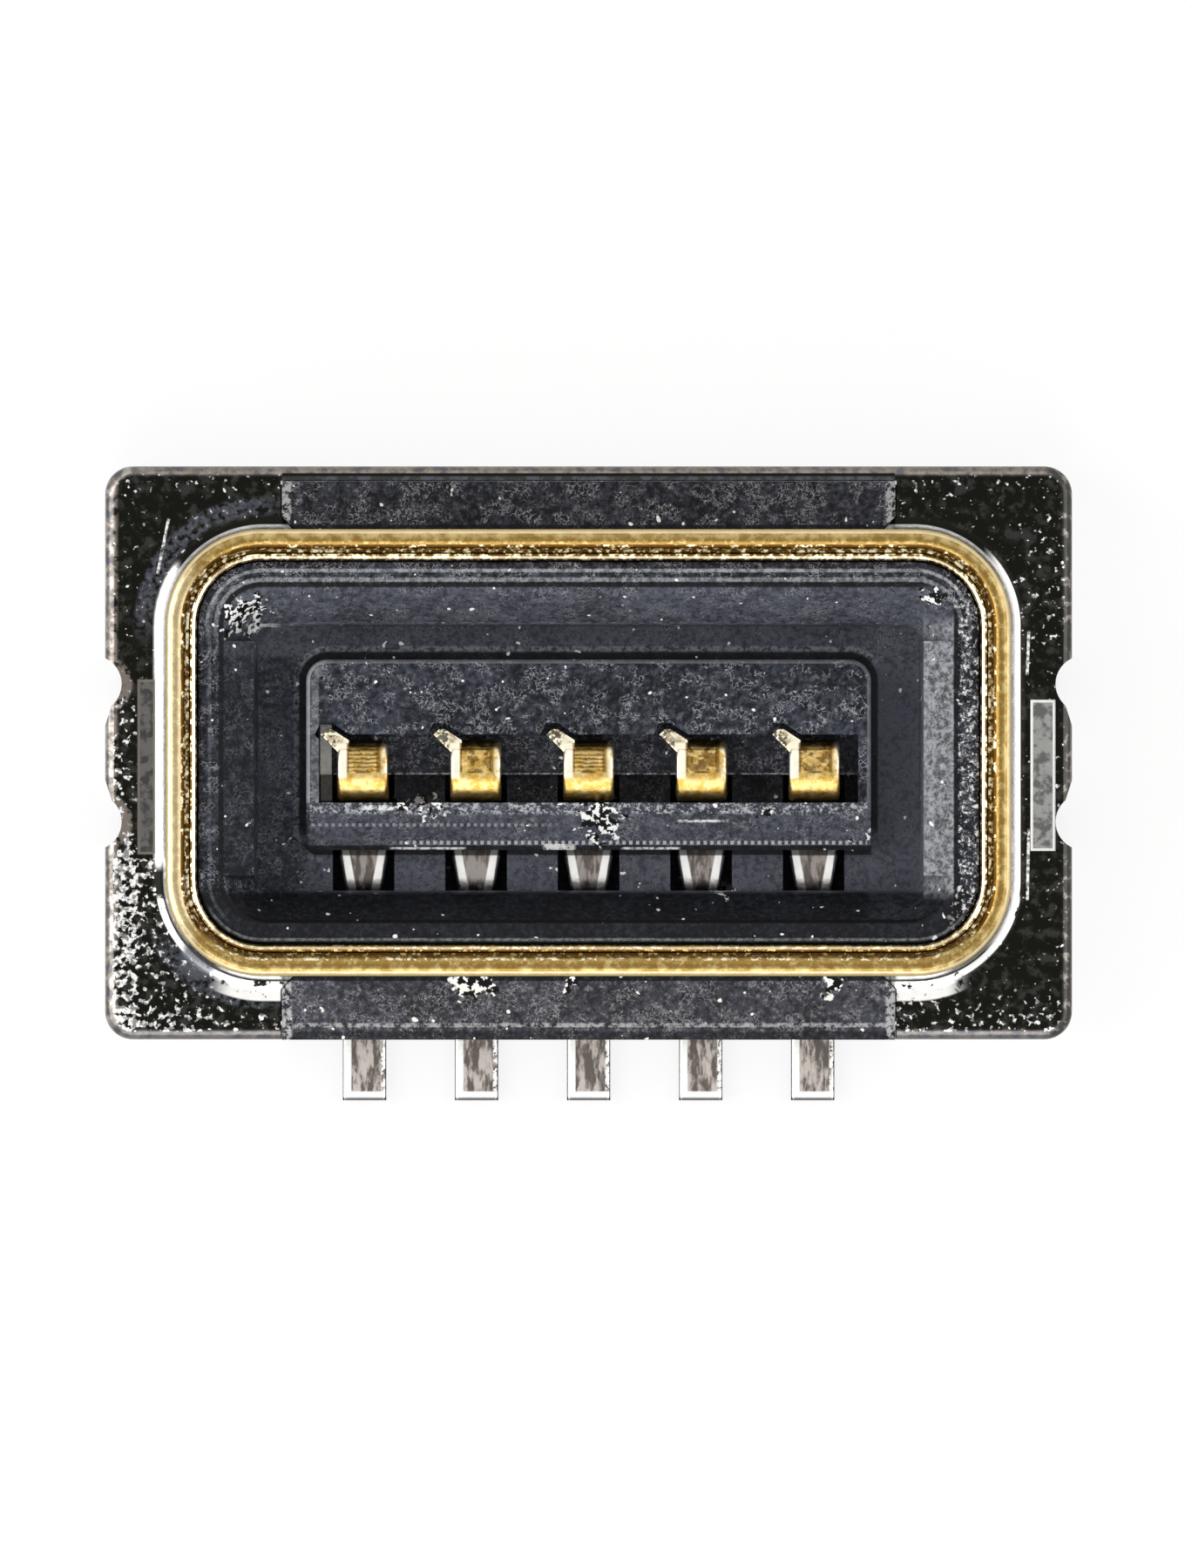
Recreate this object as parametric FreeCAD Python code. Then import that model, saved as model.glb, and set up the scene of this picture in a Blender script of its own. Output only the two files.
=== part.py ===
import FreeCAD, Part
import math
import os

from FreeCAD import Vector

# Shielded surface-mount receptacle for a flexible circuit, five positions in one row.
# Millimetres. X runs along the contact row, -Y is the side where the solder tails leave,
# +Z points out of the mating face. Z = 0 is the board, the origin is the middle of the body.

# Contact row
POSITIONS = 5
PITCH = 0.40

# Body
BODY_LENGTH = 3.44
BODY_WIDTH = 2.04
BODY_CORNER = 0.10
LEAST_CORNER = 0.01
STANDOFF = 0.02

# Shell, drawn from one sheet
SHEET = 0.05
PLATE_TOP = 0.30
EDGE_BEND = 0.045
ROOT_FILLET = 0.07

# Raised rim of the shell, a race-track that guides the plug
RIM_LENGTH = 2.99
RIM_WIDTH = 1.58
RIM_CORNER = 0.34
RIM_TOP = 0.70
RIM_ROOT = 0.12
HEM_WIDTH = 0.11
HEM_DEPTH = 0.15
CREST_RADIUS = 0.034
CREST_WIDTH = 0.072
CREST_INNER_DROP = 0.022
GROOVE_WIDTH = 0.010
GROOVE_DEPTH = 0.045
BEAD_RISE = 0.018

# Relief notches and solder feet at the two ends of the shell
NOTCH_SPACING = 0.49
NOTCH_WIDTH = 0.20
NOTCH_DEPTH = 0.060
FOOT_CHAMFER = 0.05
PAD_DEPTH = 0.012
LEFT_PAD_LENGTH = 0.62
LEFT_PAD_WIDTH = 0.062
LEFT_PAD_SHIFT = -0.05
LEFT_PAD_INSET = 0.117
RIGHT_PAD_LENGTH = 0.535
RIGHT_PAD_WIDTH = 0.086
RIGHT_PAD_SHIFT = -0.08
RIGHT_PAD_INSET = 0.062

# Housing
HOUSING_GAP = 0.005
END_GAP = 0.015
SHOULDER_LENGTH = 2.18
SHOULDER_TOP = 0.325
SHOULDER_CHAMFER = 0.05
LEDGE_WIDTH = 0.105
LEDGE_DROP = 0.06
WELL_FLOOR = 0.32
WELL_SHIFT = -0.02
LEAD_IN_WIDTH = 0.095
LEAD_IN_DEPTH = 0.18
END_LEAD_IN_DEPTH = 0.055
WELL_DRAFT = 0.010
WELL_CORNER = 0.16

# Island in the middle of the well
ISLAND_LENGTH = 2.00
ISLAND_BACK = 0.33
ISLAND_FRONT = -0.345
ISLAND_TOP = 0.54
ISLAND_CORNER = 0.075
ISLAND_EDGE = 0.02
CHANNEL_END_WALL = 0.045
CHANNEL_FLOOR = 0.41
RISER_SLOT = 0.10
BRIDGE_DROP = 0.03
BRIDGE_SLOPE = 0.10

# Contacts, bent from strip
STRIP = 0.06
TAIL_WIDTH = 0.155
TAIL_REACH = 0.22
NECK_WIDTH = 0.125
TIP_WIDTH = 0.18
TIP_TOP = 0.55
TIP_FRONT = -0.172
TIP_BACK = 0.045
TIP_BEND = 0.10
HEEL_BEND = 0.07
RAMP_BEND = 0.08
LEG_HEIGHT = 0.21
RAMP_UNDER_WALL = 0.26
RAMP_IN_WELL = 0.025
TIP_DROP = 0.10
EAR_REACH = 0.040
EAR_WIDTH = 0.042
EAR_DROP = 0.02
EAR_HEIGHT = 0.045
DISH_WIDTH = 0.115
DISH_DEPTH = 0.010

# Room around the contacts in the housing
SLOT_GAP = 0.02
SLOT_FLOOR = 0.08
SPRING_GAP = 0.02

# Levels and outlines that follow from the sizes above
PLATE_UNDER = PLATE_TOP - SHEET
LEDGE_TOP = RIM_TOP - LEDGE_DROP
HEM_FOOT = RIM_TOP - HEM_DEPTH
BASE_TOP = PLATE_UNDER
FRONT_FACE = -BODY_WIDTH / 2
BACK_FACE = BODY_WIDTH / 2
WELL_INSET = HEM_WIDTH + LEDGE_WIDTH
WELL_FOOT_INSET = WELL_INSET + LEAD_IN_WIDTH + WELL_DRAFT
CHANNEL_BACK = TIP_BACK + SPRING_GAP
CHANNEL_FRONT = TIP_FRONT - HOUSING_GAP
SLOT_WIDTH = TIP_WIDTH + 2 * SLOT_GAP
WELL_FRONT = WELL_SHIFT - (RIM_WIDTH / 2 - WELL_FOOT_INSET)
TUNNEL_TOP = LEG_HEIGHT + HEEL_BEND + SPRING_GAP
RAMP_START = WELL_FRONT - RAMP_UNDER_WALL
RAMP_END = WELL_FRONT + RAMP_IN_WELL
RAMP_ANGLE = math.atan2(LEG_HEIGHT - STRIP / 2, RAMP_END - RAMP_START)
RAMP_LEAD = (RAMP_BEND + STRIP / 2) * math.tan(RAMP_ANGLE / 2)


def row_places():
    """X of every contact, the row centred on the body."""
    first = -(POSITIONS - 1) * PITCH / 2
    return [first + i * PITCH for i in range(POSITIONS)]


def rounded_outline(length, width, corner, z):
    """Closed wire of a rectangle with round corners, centred on the Z axis at height z."""
    x, y = length / 2, width / 2
    c = corner * (1 - math.sqrt(0.5))

    def line(a, b):
        return Part.LineSegment(Vector(*a, z), Vector(*b, z)).toShape()

    def arc(a, m, b):
        return Part.Arc(Vector(*a, z), Vector(*m, z), Vector(*b, z)).toShape()

    return Part.Wire([
        line((-x + corner, -y), (x - corner, -y)),
        arc((x - corner, -y), (x - c, -y + c), (x, -y + corner)),
        line((x, -y + corner), (x, y - corner)),
        arc((x, y - corner), (x - c, y - c), (x - corner, y)),
        line((x - corner, y), (-x + corner, y)),
        arc((-x + corner, y), (-x + c, y - c), (-x, y - corner)),
        line((-x, y - corner), (-x, -y + corner)),
        arc((-x, -y + corner), (-x + c, -y + c), (-x + corner, -y)),
    ])


def prism(wire, low, high):
    """Solid between two heights over a closed wire drawn at height low."""
    return Part.Face(wire).extrude(Vector(0, 0, high - low))


def block(x0, x1, y0, y1, z0, z1):
    """Box between two corners."""
    return Part.makeBox(x1 - x0, y1 - y0, z1 - z0, Vector(x0, y0, z0))


def body_prism(inset, low, high):
    """Prism of the body's outline drawn in by inset on every side."""
    corner = max(BODY_CORNER - inset, LEAST_CORNER)
    outline = rounded_outline(BODY_LENGTH - 2 * inset, BODY_WIDTH - 2 * inset, corner, low)
    return prism(outline, low, high)


def rim_outline(inset, z):
    """Race-track of the raised rim drawn in by inset."""
    return rounded_outline(RIM_LENGTH - 2 * inset, RIM_WIDTH - 2 * inset, RIM_CORNER - inset, z)


def rim_prism(inset, low, high):
    """Prism of the race-track drawn in by inset."""
    return prism(rim_outline(inset, low), low, high)


def carried_round_rim(section):
    """Closed section of (inset, z) runs, carried along the rim's sides and turned about its corners."""
    corner_x = RIM_LENGTH / 2 - RIM_CORNER
    corner_y = RIM_WIDTH / 2 - RIM_CORNER
    up = Vector(0, 0, 1)
    edges = []
    for run in section:
        spots = [Vector(0, inset - RIM_CORNER, z) for inset, z in run]
        edges.append(Part.LineSegment(*spots).toShape() if len(spots) == 2 else Part.Arc(*spots).toShape())
    face = Part.Face(Part.Wire(edges))
    turned = face.revolve(Vector(0, 0, 0), up, 90)
    pieces = []
    places = [(corner_x, -corner_y), (corner_x, corner_y), (-corner_x, corner_y), (-corner_x, -corner_y)]
    for quarter, (x, y) in enumerate(places):
        straight = corner_x if quarter % 2 else corner_y
        side = face.copy()
        side.rotate(Vector(0, 0, 0), up, 90 * (quarter + 1))
        side.translate(Vector(x, y, 0))
        along = Vector(0, 2 * straight, 0)
        along = FreeCAD.Rotation(up, 90 * quarter).multVec(along)
        corner = turned.copy()
        corner.rotate(Vector(0, 0, 0), up, 90 * quarter)
        corner.translate(Vector(x, y, 0))
        pieces += [corner, side.extrude(along)]
    return pieces[0].multiFuse(pieces[1:]).removeSplitter()


def level_arc(start, top):
    """Three spots of the arc from start that comes level at top."""
    reach, rise = top[0] - start[0], top[1] - start[1]
    radius = (reach ** 2 + rise ** 2) / (2 * rise)
    half = math.atan2(reach, radius - rise) / 2
    return [start, (top[0] - radius * math.sin(half), top[1] - radius * (1 - math.cos(half))), top]


def hem_section():
    """Section of the rim: straight wall, rounded crest, groove and inner bead of the closed hem."""
    crest_start = (0, RIM_TOP - CREST_RADIUS)
    crest_top = (CREST_RADIUS, RIM_TOP)
    crest_end = (CREST_WIDTH, RIM_TOP - CREST_INNER_DROP)
    groove_floor = RIM_TOP - GROOVE_DEPTH
    groove_end = CREST_WIDTH + GROOVE_WIDTH
    bead_mid = (groove_end + HEM_WIDTH) / 2
    outer = [(0, RIM_ROOT), crest_start]
    crest_out = level_arc(crest_start, crest_top)
    crest_in = level_arc(crest_end, crest_top)[::-1]
    groove_wall = [crest_end, (CREST_WIDTH, groove_floor)]
    groove = [(CREST_WIDTH, groove_floor), (groove_end, groove_floor)]
    bead_out = [(groove_end, groove_floor), (bead_mid, groove_floor + BEAD_RISE)]
    bead_in = [(bead_mid, groove_floor + BEAD_RISE), (HEM_WIDTH, groove_floor)]
    lip = [(HEM_WIDTH, groove_floor), (HEM_WIDTH, HEM_FOOT)]
    under = [(HEM_WIDTH, HEM_FOOT), (SHEET, HEM_FOOT)]
    inner = [(SHEET, HEM_FOOT), (SHEET, RIM_ROOT)]
    foot = [(SHEET, RIM_ROOT), (0, RIM_ROOT)]
    return [outer, crest_out, crest_in, groove_wall, groove, bead_out, bead_in, lip, under, inner, foot]


def root_section():
    """Concave fillet where the end plates rise into the rim's wall."""
    r = ROOT_FILLET
    c = r * math.sqrt(0.5)
    return [
        [(0, PLATE_TOP + r), (-(r - c), PLATE_TOP + r - c), (-r, PLATE_TOP)],
        [(-r, PLATE_TOP), (-r, PLATE_UNDER)],
        [(-r, PLATE_UNDER), (SHEET, PLATE_UNDER)],
        [(SHEET, PLATE_UNDER), (SHEET, PLATE_TOP + r)],
        [(SHEET, PLATE_TOP + r), (0, PLATE_TOP + r)],
    ]


def shoulder_plan(side, gap):
    """Plan of a shoulder, side +1 at the back and -1 at the front, grown by gap at its ends."""
    half = SHOULDER_LENGTH / 2 + gap
    rim = side * (RIM_WIDTH / 2 - SHEET)
    crest = side * (RIM_WIDTH / 2 + SHOULDER_CHAMFER)
    far = side * BODY_WIDTH
    cut = SHOULDER_CHAMFER
    spots = [
        (-half + cut, rim), (half - cut, rim), (half - cut, side * RIM_WIDTH / 2), (half, crest),
        (half, far), (-half, far), (-half, crest), (-half + cut, side * RIM_WIDTH / 2),
    ]
    points = [Vector(x, y, 0) for x, y in spots]
    return Part.makePolygon(points + points[:1])


def shoulder_zone(side, gap, low, high):
    """Prism over a shoulder's plan between two heights."""
    zone = prism(shoulder_plan(side, gap), 0, high - low)
    zone.translate(Vector(0, 0, low))
    return zone


def end_cover():
    """Drawn cover with its turned-down edge, before the rim and the notches."""
    cover = body_prism(0, 0, PLATE_TOP)
    crown = [e for e in cover.Edges if all(abs(v.Z - PLATE_TOP) < 1e-6 for v in e.Vertexes)]
    cover = cover.makeFillet(EDGE_BEND, crown)
    return cover.cut(body_prism(SHEET, -SHEET, PLATE_UNDER))


def notch_cutter(side, place):
    """Relief notch with a round bottom, through the edge at one end."""
    radius = NOTCH_WIDTH / 2
    edge = side * BODY_LENGTH / 2
    middle = edge + side * (radius - NOTCH_DEPTH)
    return Part.makeCylinder(radius, PLATE_TOP + 2 * SHEET, Vector(middle, place, -SHEET))


def foot_chamfer(side, end):
    """Wedge off a corner of the solder foot, beside a notch."""
    edge = side * BODY_LENGTH / 2
    near = end * (NOTCH_SPACING - NOTCH_WIDTH) / 2
    far = end * NOTCH_SPACING / 2
    spots = [
        Vector(edge, near - end * FOOT_CHAMFER, -SHEET),
        Vector(edge - side * FOOT_CHAMFER, far, -SHEET),
        Vector(edge + side * FOOT_CHAMFER, far, -SHEET),
    ]
    return Part.Face(Part.makePolygon(spots + spots[:1])).extrude(Vector(0, 0, PLATE_TOP + 2 * SHEET))


def pad_recess(side):
    """Coined flat on an end plate behind the solder foot. The two ends differ a little."""
    if side < 0:
        length, width, shift, inset = LEFT_PAD_LENGTH, LEFT_PAD_WIDTH, LEFT_PAD_SHIFT, LEFT_PAD_INSET
    else:
        length, width, shift, inset = RIGHT_PAD_LENGTH, RIGHT_PAD_WIDTH, RIGHT_PAD_SHIFT, RIGHT_PAD_INSET
    outer = side * (BODY_LENGTH / 2 - inset)
    inner = outer - side * width
    low, high = shift - length / 2, shift + length / 2
    return block(min(inner, outer), max(inner, outer), low, high, PLATE_TOP - PAD_DEPTH, PLATE_TOP + SHEET)


def make_shell():
    """End plates, turned-down edges and hemmed rim, one drawn piece of sheet."""
    rim = carried_round_rim(hem_section())
    plates = end_cover().cut(rim_prism(SHEET, -SHEET, RIM_TOP))
    plates = plates.fuse(carried_round_rim(root_section()))
    inside_edge = body_prism(SHEET, -SHEET, RIM_TOP)
    for side in (-1, 1):
        pocket = shoulder_zone(side, HOUSING_GAP, -SHEET, RIM_TOP)
        pocket = pocket.cut(rim_prism(0, -SHEET, RIM_TOP))
        if side > 0:
            pocket = pocket.common(inside_edge)
        plates = plates.cut(pocket)
    low_wall = shoulder_zone(1, 0, -SHEET, PLATE_UNDER).fuse(shoulder_zone(-1, 0, -SHEET, PLATE_UNDER))
    below = body_prism(-SHEET, -SHEET, PLATE_UNDER).cut(low_wall)
    shell = plates.fuse(rim.cut(below))
    for side in (-1, 1):
        for end in (-1, 1):
            shell = shell.cut(notch_cutter(side, end * NOTCH_SPACING / 2))
            shell = shell.cut(foot_chamfer(side, end))
        shell = shell.cut(pad_recess(side))
    return shell.removeSplitter()


def well_section(reach, depth):
    """Half of the well's section: spots from the wall's foot up to the rim's height."""
    mouth = reach + WELL_CORNER
    knee = mouth - LEAD_IN_WIDTH
    foot = knee - WELL_DRAFT
    return [(foot, WELL_FLOOR), (knee, LEDGE_TOP - depth), (mouth, LEDGE_TOP), (mouth, RIM_TOP)]


def well_slab(half, reach, depth):
    """Straight part of the well, over half on both sides of the middle, between walls in Y."""
    section = well_section(reach, depth)
    spots = [(-y, z) for y, z in section] + section[::-1]
    points = [Vector(-half, y, z) for y, z in spots]
    return Part.Face(Part.makePolygon(points + points[:1])).extrude(Vector(2 * half, 0, 0))


def well_corner(x, y):
    """Round corner of the well about an upright line at x, y."""
    section = [(0, WELL_FLOOR)] + well_section(0, LEAD_IN_DEPTH) + [(0, RIM_TOP)]
    points = [Vector(r, 0, z) for r, z in section]
    corner = Part.Face(Part.makePolygon(points + points[:1])).revolve(Vector(0, 0, 0), Vector(0, 0, 1), 360)
    corner.translate(Vector(x, y, 0))
    return corner


def mating_well():
    """The well the plug's tongue enters: steep lead-in along its sides, flat lead-in at its ends."""
    x = RIM_LENGTH / 2 - WELL_INSET - WELL_CORNER
    y = RIM_WIDTH / 2 - WELL_INSET - WELL_CORNER
    along = well_slab(x, y, LEAD_IN_DEPTH)
    across = well_slab(y, x, END_LEAD_IN_DEPTH)
    across.rotate(Vector(0, 0, 0), Vector(0, 0, 1), 90)
    corners = [well_corner(i * x, j * y) for i in (-1, 1) for j in (-1, 1)]
    well = along.multiFuse([across] + corners).removeSplitter()
    well.translate(Vector(0, WELL_SHIFT, 0))
    return well


def island():
    """Block that carries the contact tips, with its channel, riser slot and sloped bridge."""
    half = ISLAND_LENGTH / 2
    body = block(-half, half, ISLAND_FRONT, ISLAND_BACK, STANDOFF, ISLAND_TOP)
    upright = [
        e for e in body.Edges
        if abs(e.Vertexes[0].Z - e.Vertexes[-1].Z) > SHEET and e.Vertexes[0].Y > 0
    ]
    body = body.makeFillet(ISLAND_CORNER, upright)
    crown = [
        e for e in body.Edges
        if all(abs(v.Z - ISLAND_TOP) < 1e-6 for v in e.Vertexes)
        and any(v.Y > ISLAND_FRONT + ISLAND_CORNER for v in e.Vertexes)
    ]
    body = body.makeFillet(ISLAND_EDGE, crown)
    inner = half - CHANNEL_END_WALL
    channel = block(-inner, inner, CHANNEL_FRONT, CHANNEL_BACK, CHANNEL_FLOOR, RIM_TOP)
    slot_back = CHANNEL_FRONT + RISER_SLOT
    slot = block(-inner, inner, CHANNEL_FRONT, slot_back, WELL_FLOOR, RIM_TOP)
    bridge_top = ISLAND_TOP - BRIDGE_DROP
    spots = [
        Vector(-BODY_LENGTH, CHANNEL_FRONT, bridge_top),
        Vector(-BODY_LENGTH, CHANNEL_FRONT, RIM_TOP),
        Vector(-BODY_LENGTH, ISLAND_FRONT - SHEET, RIM_TOP),
        Vector(-BODY_LENGTH, ISLAND_FRONT - SHEET, bridge_top - BRIDGE_SLOPE),
        Vector(-BODY_LENGTH, ISLAND_FRONT, bridge_top - BRIDGE_SLOPE),
    ]
    slope = Part.Face(Part.makePolygon(spots + spots[:1])).extrude(Vector(2 * BODY_LENGTH, 0, 0))
    return body.cut(channel).cut(slot).cut(slope)


def ear_prism(grow, low, high):
    """Prism over the plan of a contact's ear, which leaves the tip's rear left corner at 45 degrees."""
    side = -TIP_WIDTH / 2
    root = side + EAR_WIDTH
    step = EAR_WIDTH / 2
    tip_x, tip_y = side - EAR_REACH, TIP_BACK + EAR_REACH
    spots = [
        (root, TIP_BACK - STRIP - grow), (side - grow, TIP_BACK - STRIP - grow),
        (side - grow, TIP_BACK - EAR_WIDTH), (tip_x - step - grow, tip_y - step),
        (tip_x - grow, tip_y + grow), (tip_x + step, tip_y + grow),
        (root, TIP_BACK + grow),
    ]
    points = [Vector(x, y, low) for x, y in spots]
    return Part.Face(Part.makePolygon(points + points[:1])).extrude(Vector(0, 0, high - low))


def contact_room(x):
    """Slot, sloped tunnel under the well's wall and tail groove of one contact."""
    half = SLOT_WIDTH / 2
    slot_back = CHANNEL_FRONT + RISER_SLOT
    under_wall = RAMP_START - RAMP_LEAD - SPRING_GAP
    groove = TAIL_WIDTH / 2 + HOUSING_GAP
    slope = math.tan(RAMP_ANGLE)
    lift = STRIP / 2 + STRIP / 2 / math.cos(RAMP_ANGLE) + SPRING_GAP
    knee = RAMP_START + (STRIP - lift) / slope
    roof_end = lift + (WELL_FRONT - RAMP_START) * slope
    spots = [
        Vector(x - half, under_wall, -SHEET), Vector(x - half, under_wall, STRIP),
        Vector(x - half, knee, STRIP), Vector(x - half, WELL_FRONT, roof_end),
        Vector(x - half, WELL_FRONT, -SHEET),
    ]
    ramp = Part.Face(Part.makePolygon(spots + spots[:1])).extrude(Vector(2 * half, 0, 0))
    tunnel = block(x - half, x + half, WELL_FRONT, slot_back, SLOT_FLOOR, TUNNEL_TOP)
    leg = block(x - half, x + half, WELL_FRONT, ISLAND_FRONT, SLOT_FLOOR, WELL_FLOOR + SHEET)
    riser = block(x - half, x + half, CHANNEL_FRONT, slot_back, SLOT_FLOOR, CHANNEL_FLOOR)
    tail = block(x - groove, x + groove, FRONT_FACE - SHEET, under_wall, -SHEET, STRIP)
    ear = ear_prism(SPRING_GAP, CHANNEL_FLOOR, RIM_TOP)
    ear.translate(Vector(x, 0, 0))
    return tunnel.multiFuse([leg, riser, ramp, tail, ear])


def make_housing():
    """Moulded body: base, shoulders, wall inside the rim, well, island and contact slots."""
    base = body_prism(SHEET + END_GAP, STANDOFF, BASE_TOP)
    for side in (-1, 1):
        shoulder = shoulder_zone(side, 0, STANDOFF, SHOULDER_TOP)
        reach = BACK_FACE - SHEET - HOUSING_GAP if side > 0 else -FRONT_FACE
        shoulder = shoulder.common(block(-BODY_LENGTH, BODY_LENGTH, -reach, reach, 0, RIM_TOP))
        base = base.fuse(shoulder)
    wall = rim_prism(SHEET + HOUSING_GAP, STANDOFF, HEM_FOOT - HOUSING_GAP)
    upper = rim_prism(HEM_WIDTH + HOUSING_GAP, STANDOFF, LEDGE_TOP)
    track = rim_prism(-HOUSING_GAP, RIM_ROOT, RIM_TOP).cut(rim_prism(SHEET + HOUSING_GAP, 0, RIM_TOP))
    both = shoulder_zone(1, 0, STANDOFF, RIM_TOP).fuse(shoulder_zone(-1, 0, STANDOFF, RIM_TOP))
    base = base.cut(track.common(both)).fuse(wall).fuse(upper)
    base = base.cut(mating_well()).fuse(island())
    for x in row_places():
        base = base.cut(contact_room(x))
    return base.removeSplitter()


def offset_corners(corners, shift):
    """Corners of a polyline moved sideways by shift, to the left of its run."""
    lines = []
    for (y0, z0), (y1, z1) in zip(corners, corners[1:]):
        length = math.hypot(y1 - y0, z1 - z0)
        ny, nz = -(z1 - z0) / length, (y1 - y0) / length
        lines.append(((y0 + ny * shift, z0 + nz * shift), (y1 + ny * shift, z1 + nz * shift)))
    moved = [lines[0][0]]
    for (a, b), (c, d) in zip(lines, lines[1:]):
        uy, uz = b[0] - a[0], b[1] - a[1]
        vy, vz = d[0] - c[0], d[1] - c[1]
        t = ((c[0] - a[0]) * vz - (c[1] - a[1]) * vy) / (uy * vz - uz * vy)
        moved.append((a[0] + uy * t, a[1] + uz * t))
    return moved + [lines[-1][1]]


def rounded_run(corners, radii, x):
    """Edges of a polyline whose inner corners are arcs of the given radii."""
    spots = [Vector(x, y, z) for y, z in corners]
    edges = []
    last = spots[0]
    for before, corner, after, radius in zip(spots, spots[1:], spots[2:], radii):
        u = (before - corner).normalize()
        v = (after - corner).normalize()
        half = u.getAngle(v) / 2
        reach = radius / math.tan(half)
        middle = (u + v).normalize()
        start = corner + u * reach
        end = corner + v * reach
        crown = corner + middle * (radius / math.sin(half) - radius)
        edges.append(Part.LineSegment(last, start).toShape())
        edges.append(Part.Arc(start, crown, end).toShape())
        last = end
    edges.append(Part.LineSegment(last, spots[-1]).toShape())
    return edges


def turns_left(corners):
    """True for each inner corner where the polyline turns to the left."""
    runs = [(b[0] - a[0], b[1] - a[1]) for a, b in zip(corners, corners[1:])]
    return [u[0] * v[1] - u[1] * v[0] > 0 for u, v in zip(runs, runs[1:])]


def bent_strip(corners, bends, thickness, x0, x1):
    """Strip of even thickness bent along a centre line, from x0 to x1. Bends are at the centre line."""
    left = turns_left(corners)
    sides = []
    for sign in (1, -1):
        radii = [b - sign * thickness / 2 if turn else b + sign * thickness / 2 for b, turn in zip(bends, left)]
        sides.append(rounded_run(offset_corners(corners, sign * thickness / 2), radii, x0))
    upper, lower = sides
    cap_end = Part.LineSegment(upper[-1].Vertexes[-1].Point, lower[-1].Vertexes[-1].Point).toShape()
    cap_start = Part.LineSegment(lower[0].Vertexes[0].Point, upper[0].Vertexes[0].Point).toShape()
    wire = Part.Wire(Part.__sortEdges__(upper + [cap_end] + lower + [cap_start]))
    return Part.Face(wire).extrude(Vector(x1 - x0, 0, 0))


def contact_blank():
    """Plan of the flat strip a contact is bent from: tail, neck, spring and tip."""
    tail, neck, tip = TAIL_WIDTH / 2, NECK_WIDTH / 2, TIP_WIDTH / 2
    shoulder = WELL_FRONT - STRIP
    right = [
        (tail, FRONT_FACE - TAIL_REACH), (tail, shoulder), (neck, WELL_FRONT),
        (tip, ISLAND_FRONT), (tip, TIP_BACK + STRIP),
    ]
    left = [(-x, y) for x, y in reversed(right)]
    points = [Vector(x, y, -SHEET) for x, y in right + left]
    return Part.Face(Part.makePolygon(points + points[:1])).extrude(Vector(0, 0, RIM_TOP))


def contact_shape():
    """One contact: solder tail, ramp, spring leg, riser and bent tip with its small ear."""
    half = STRIP / 2
    top = TIP_TOP - half
    riser = TIP_FRONT + half
    rear = TIP_BACK - half
    corners = [
        (FRONT_FACE - TAIL_REACH, half), (RAMP_START, half), (RAMP_END, LEG_HEIGHT),
        (riser, LEG_HEIGHT), (riser, top), (rear, top), (rear, TIP_TOP - TIP_DROP),
    ]
    bends = [RAMP_BEND, RAMP_BEND, HEEL_BEND, TIP_BEND - half, HEEL_BEND - half / 2]
    strip = bent_strip(corners, bends, STRIP, -TIP_WIDTH / 2, TIP_WIDTH / 2)
    contact = strip.common(contact_blank())
    sag = (DISH_WIDTH ** 2 / 4 + DISH_DEPTH ** 2) / (2 * DISH_DEPTH)
    dish = Part.makeCylinder(
        sag, TIP_BACK - TIP_FRONT, Vector(0, TIP_FRONT + TIP_BEND, TIP_TOP + sag - DISH_DEPTH), Vector(0, 1, 0))
    ear_top = TIP_TOP - EAR_DROP
    ear = ear_prism(0, ear_top - EAR_HEIGHT, ear_top)
    return contact.cut(dish).fuse(ear).removeSplitter()


def save(name, shape):
    """Check a piece and write it as its own STEP file."""
    if shape.ShapeType == "Compound" and len(shape.Solids) == 1:
        shape = shape.Solids[0]
    box = shape.BoundBox
    print(
        name, shape.ShapeType, "valid" if shape.isValid() else "not valid",
        "solids", len(shape.Solids), "faces", len(shape.Faces), "volume %.5f" % shape.Volume,
        "x %.3f %.3f y %.3f %.3f z %.3f %.3f" % (box.XMin, box.XMax, box.YMin, box.YMax, box.ZMin, box.ZMax),
    )
    shape.exportStep(os.path.join("parts", name + ".step"))


def main():
    """Build every piece in its place and write it."""
    os.makedirs("parts", exist_ok=True)
    save("housing", make_housing())
    save("shell", make_shell())
    for number, x in enumerate(row_places(), 1):
        contact = contact_shape()
        contact.translate(Vector(x, 0, 0))
        save("contact_%d" % number, contact)


main()
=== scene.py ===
"""Looks of a shielded board receptacle: moulding, shell with a gilt rim, row of bent contacts."""

import logging
import math
from dataclasses import dataclass, field
from enum import Enum
from typing import Callable, Sequence

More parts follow.
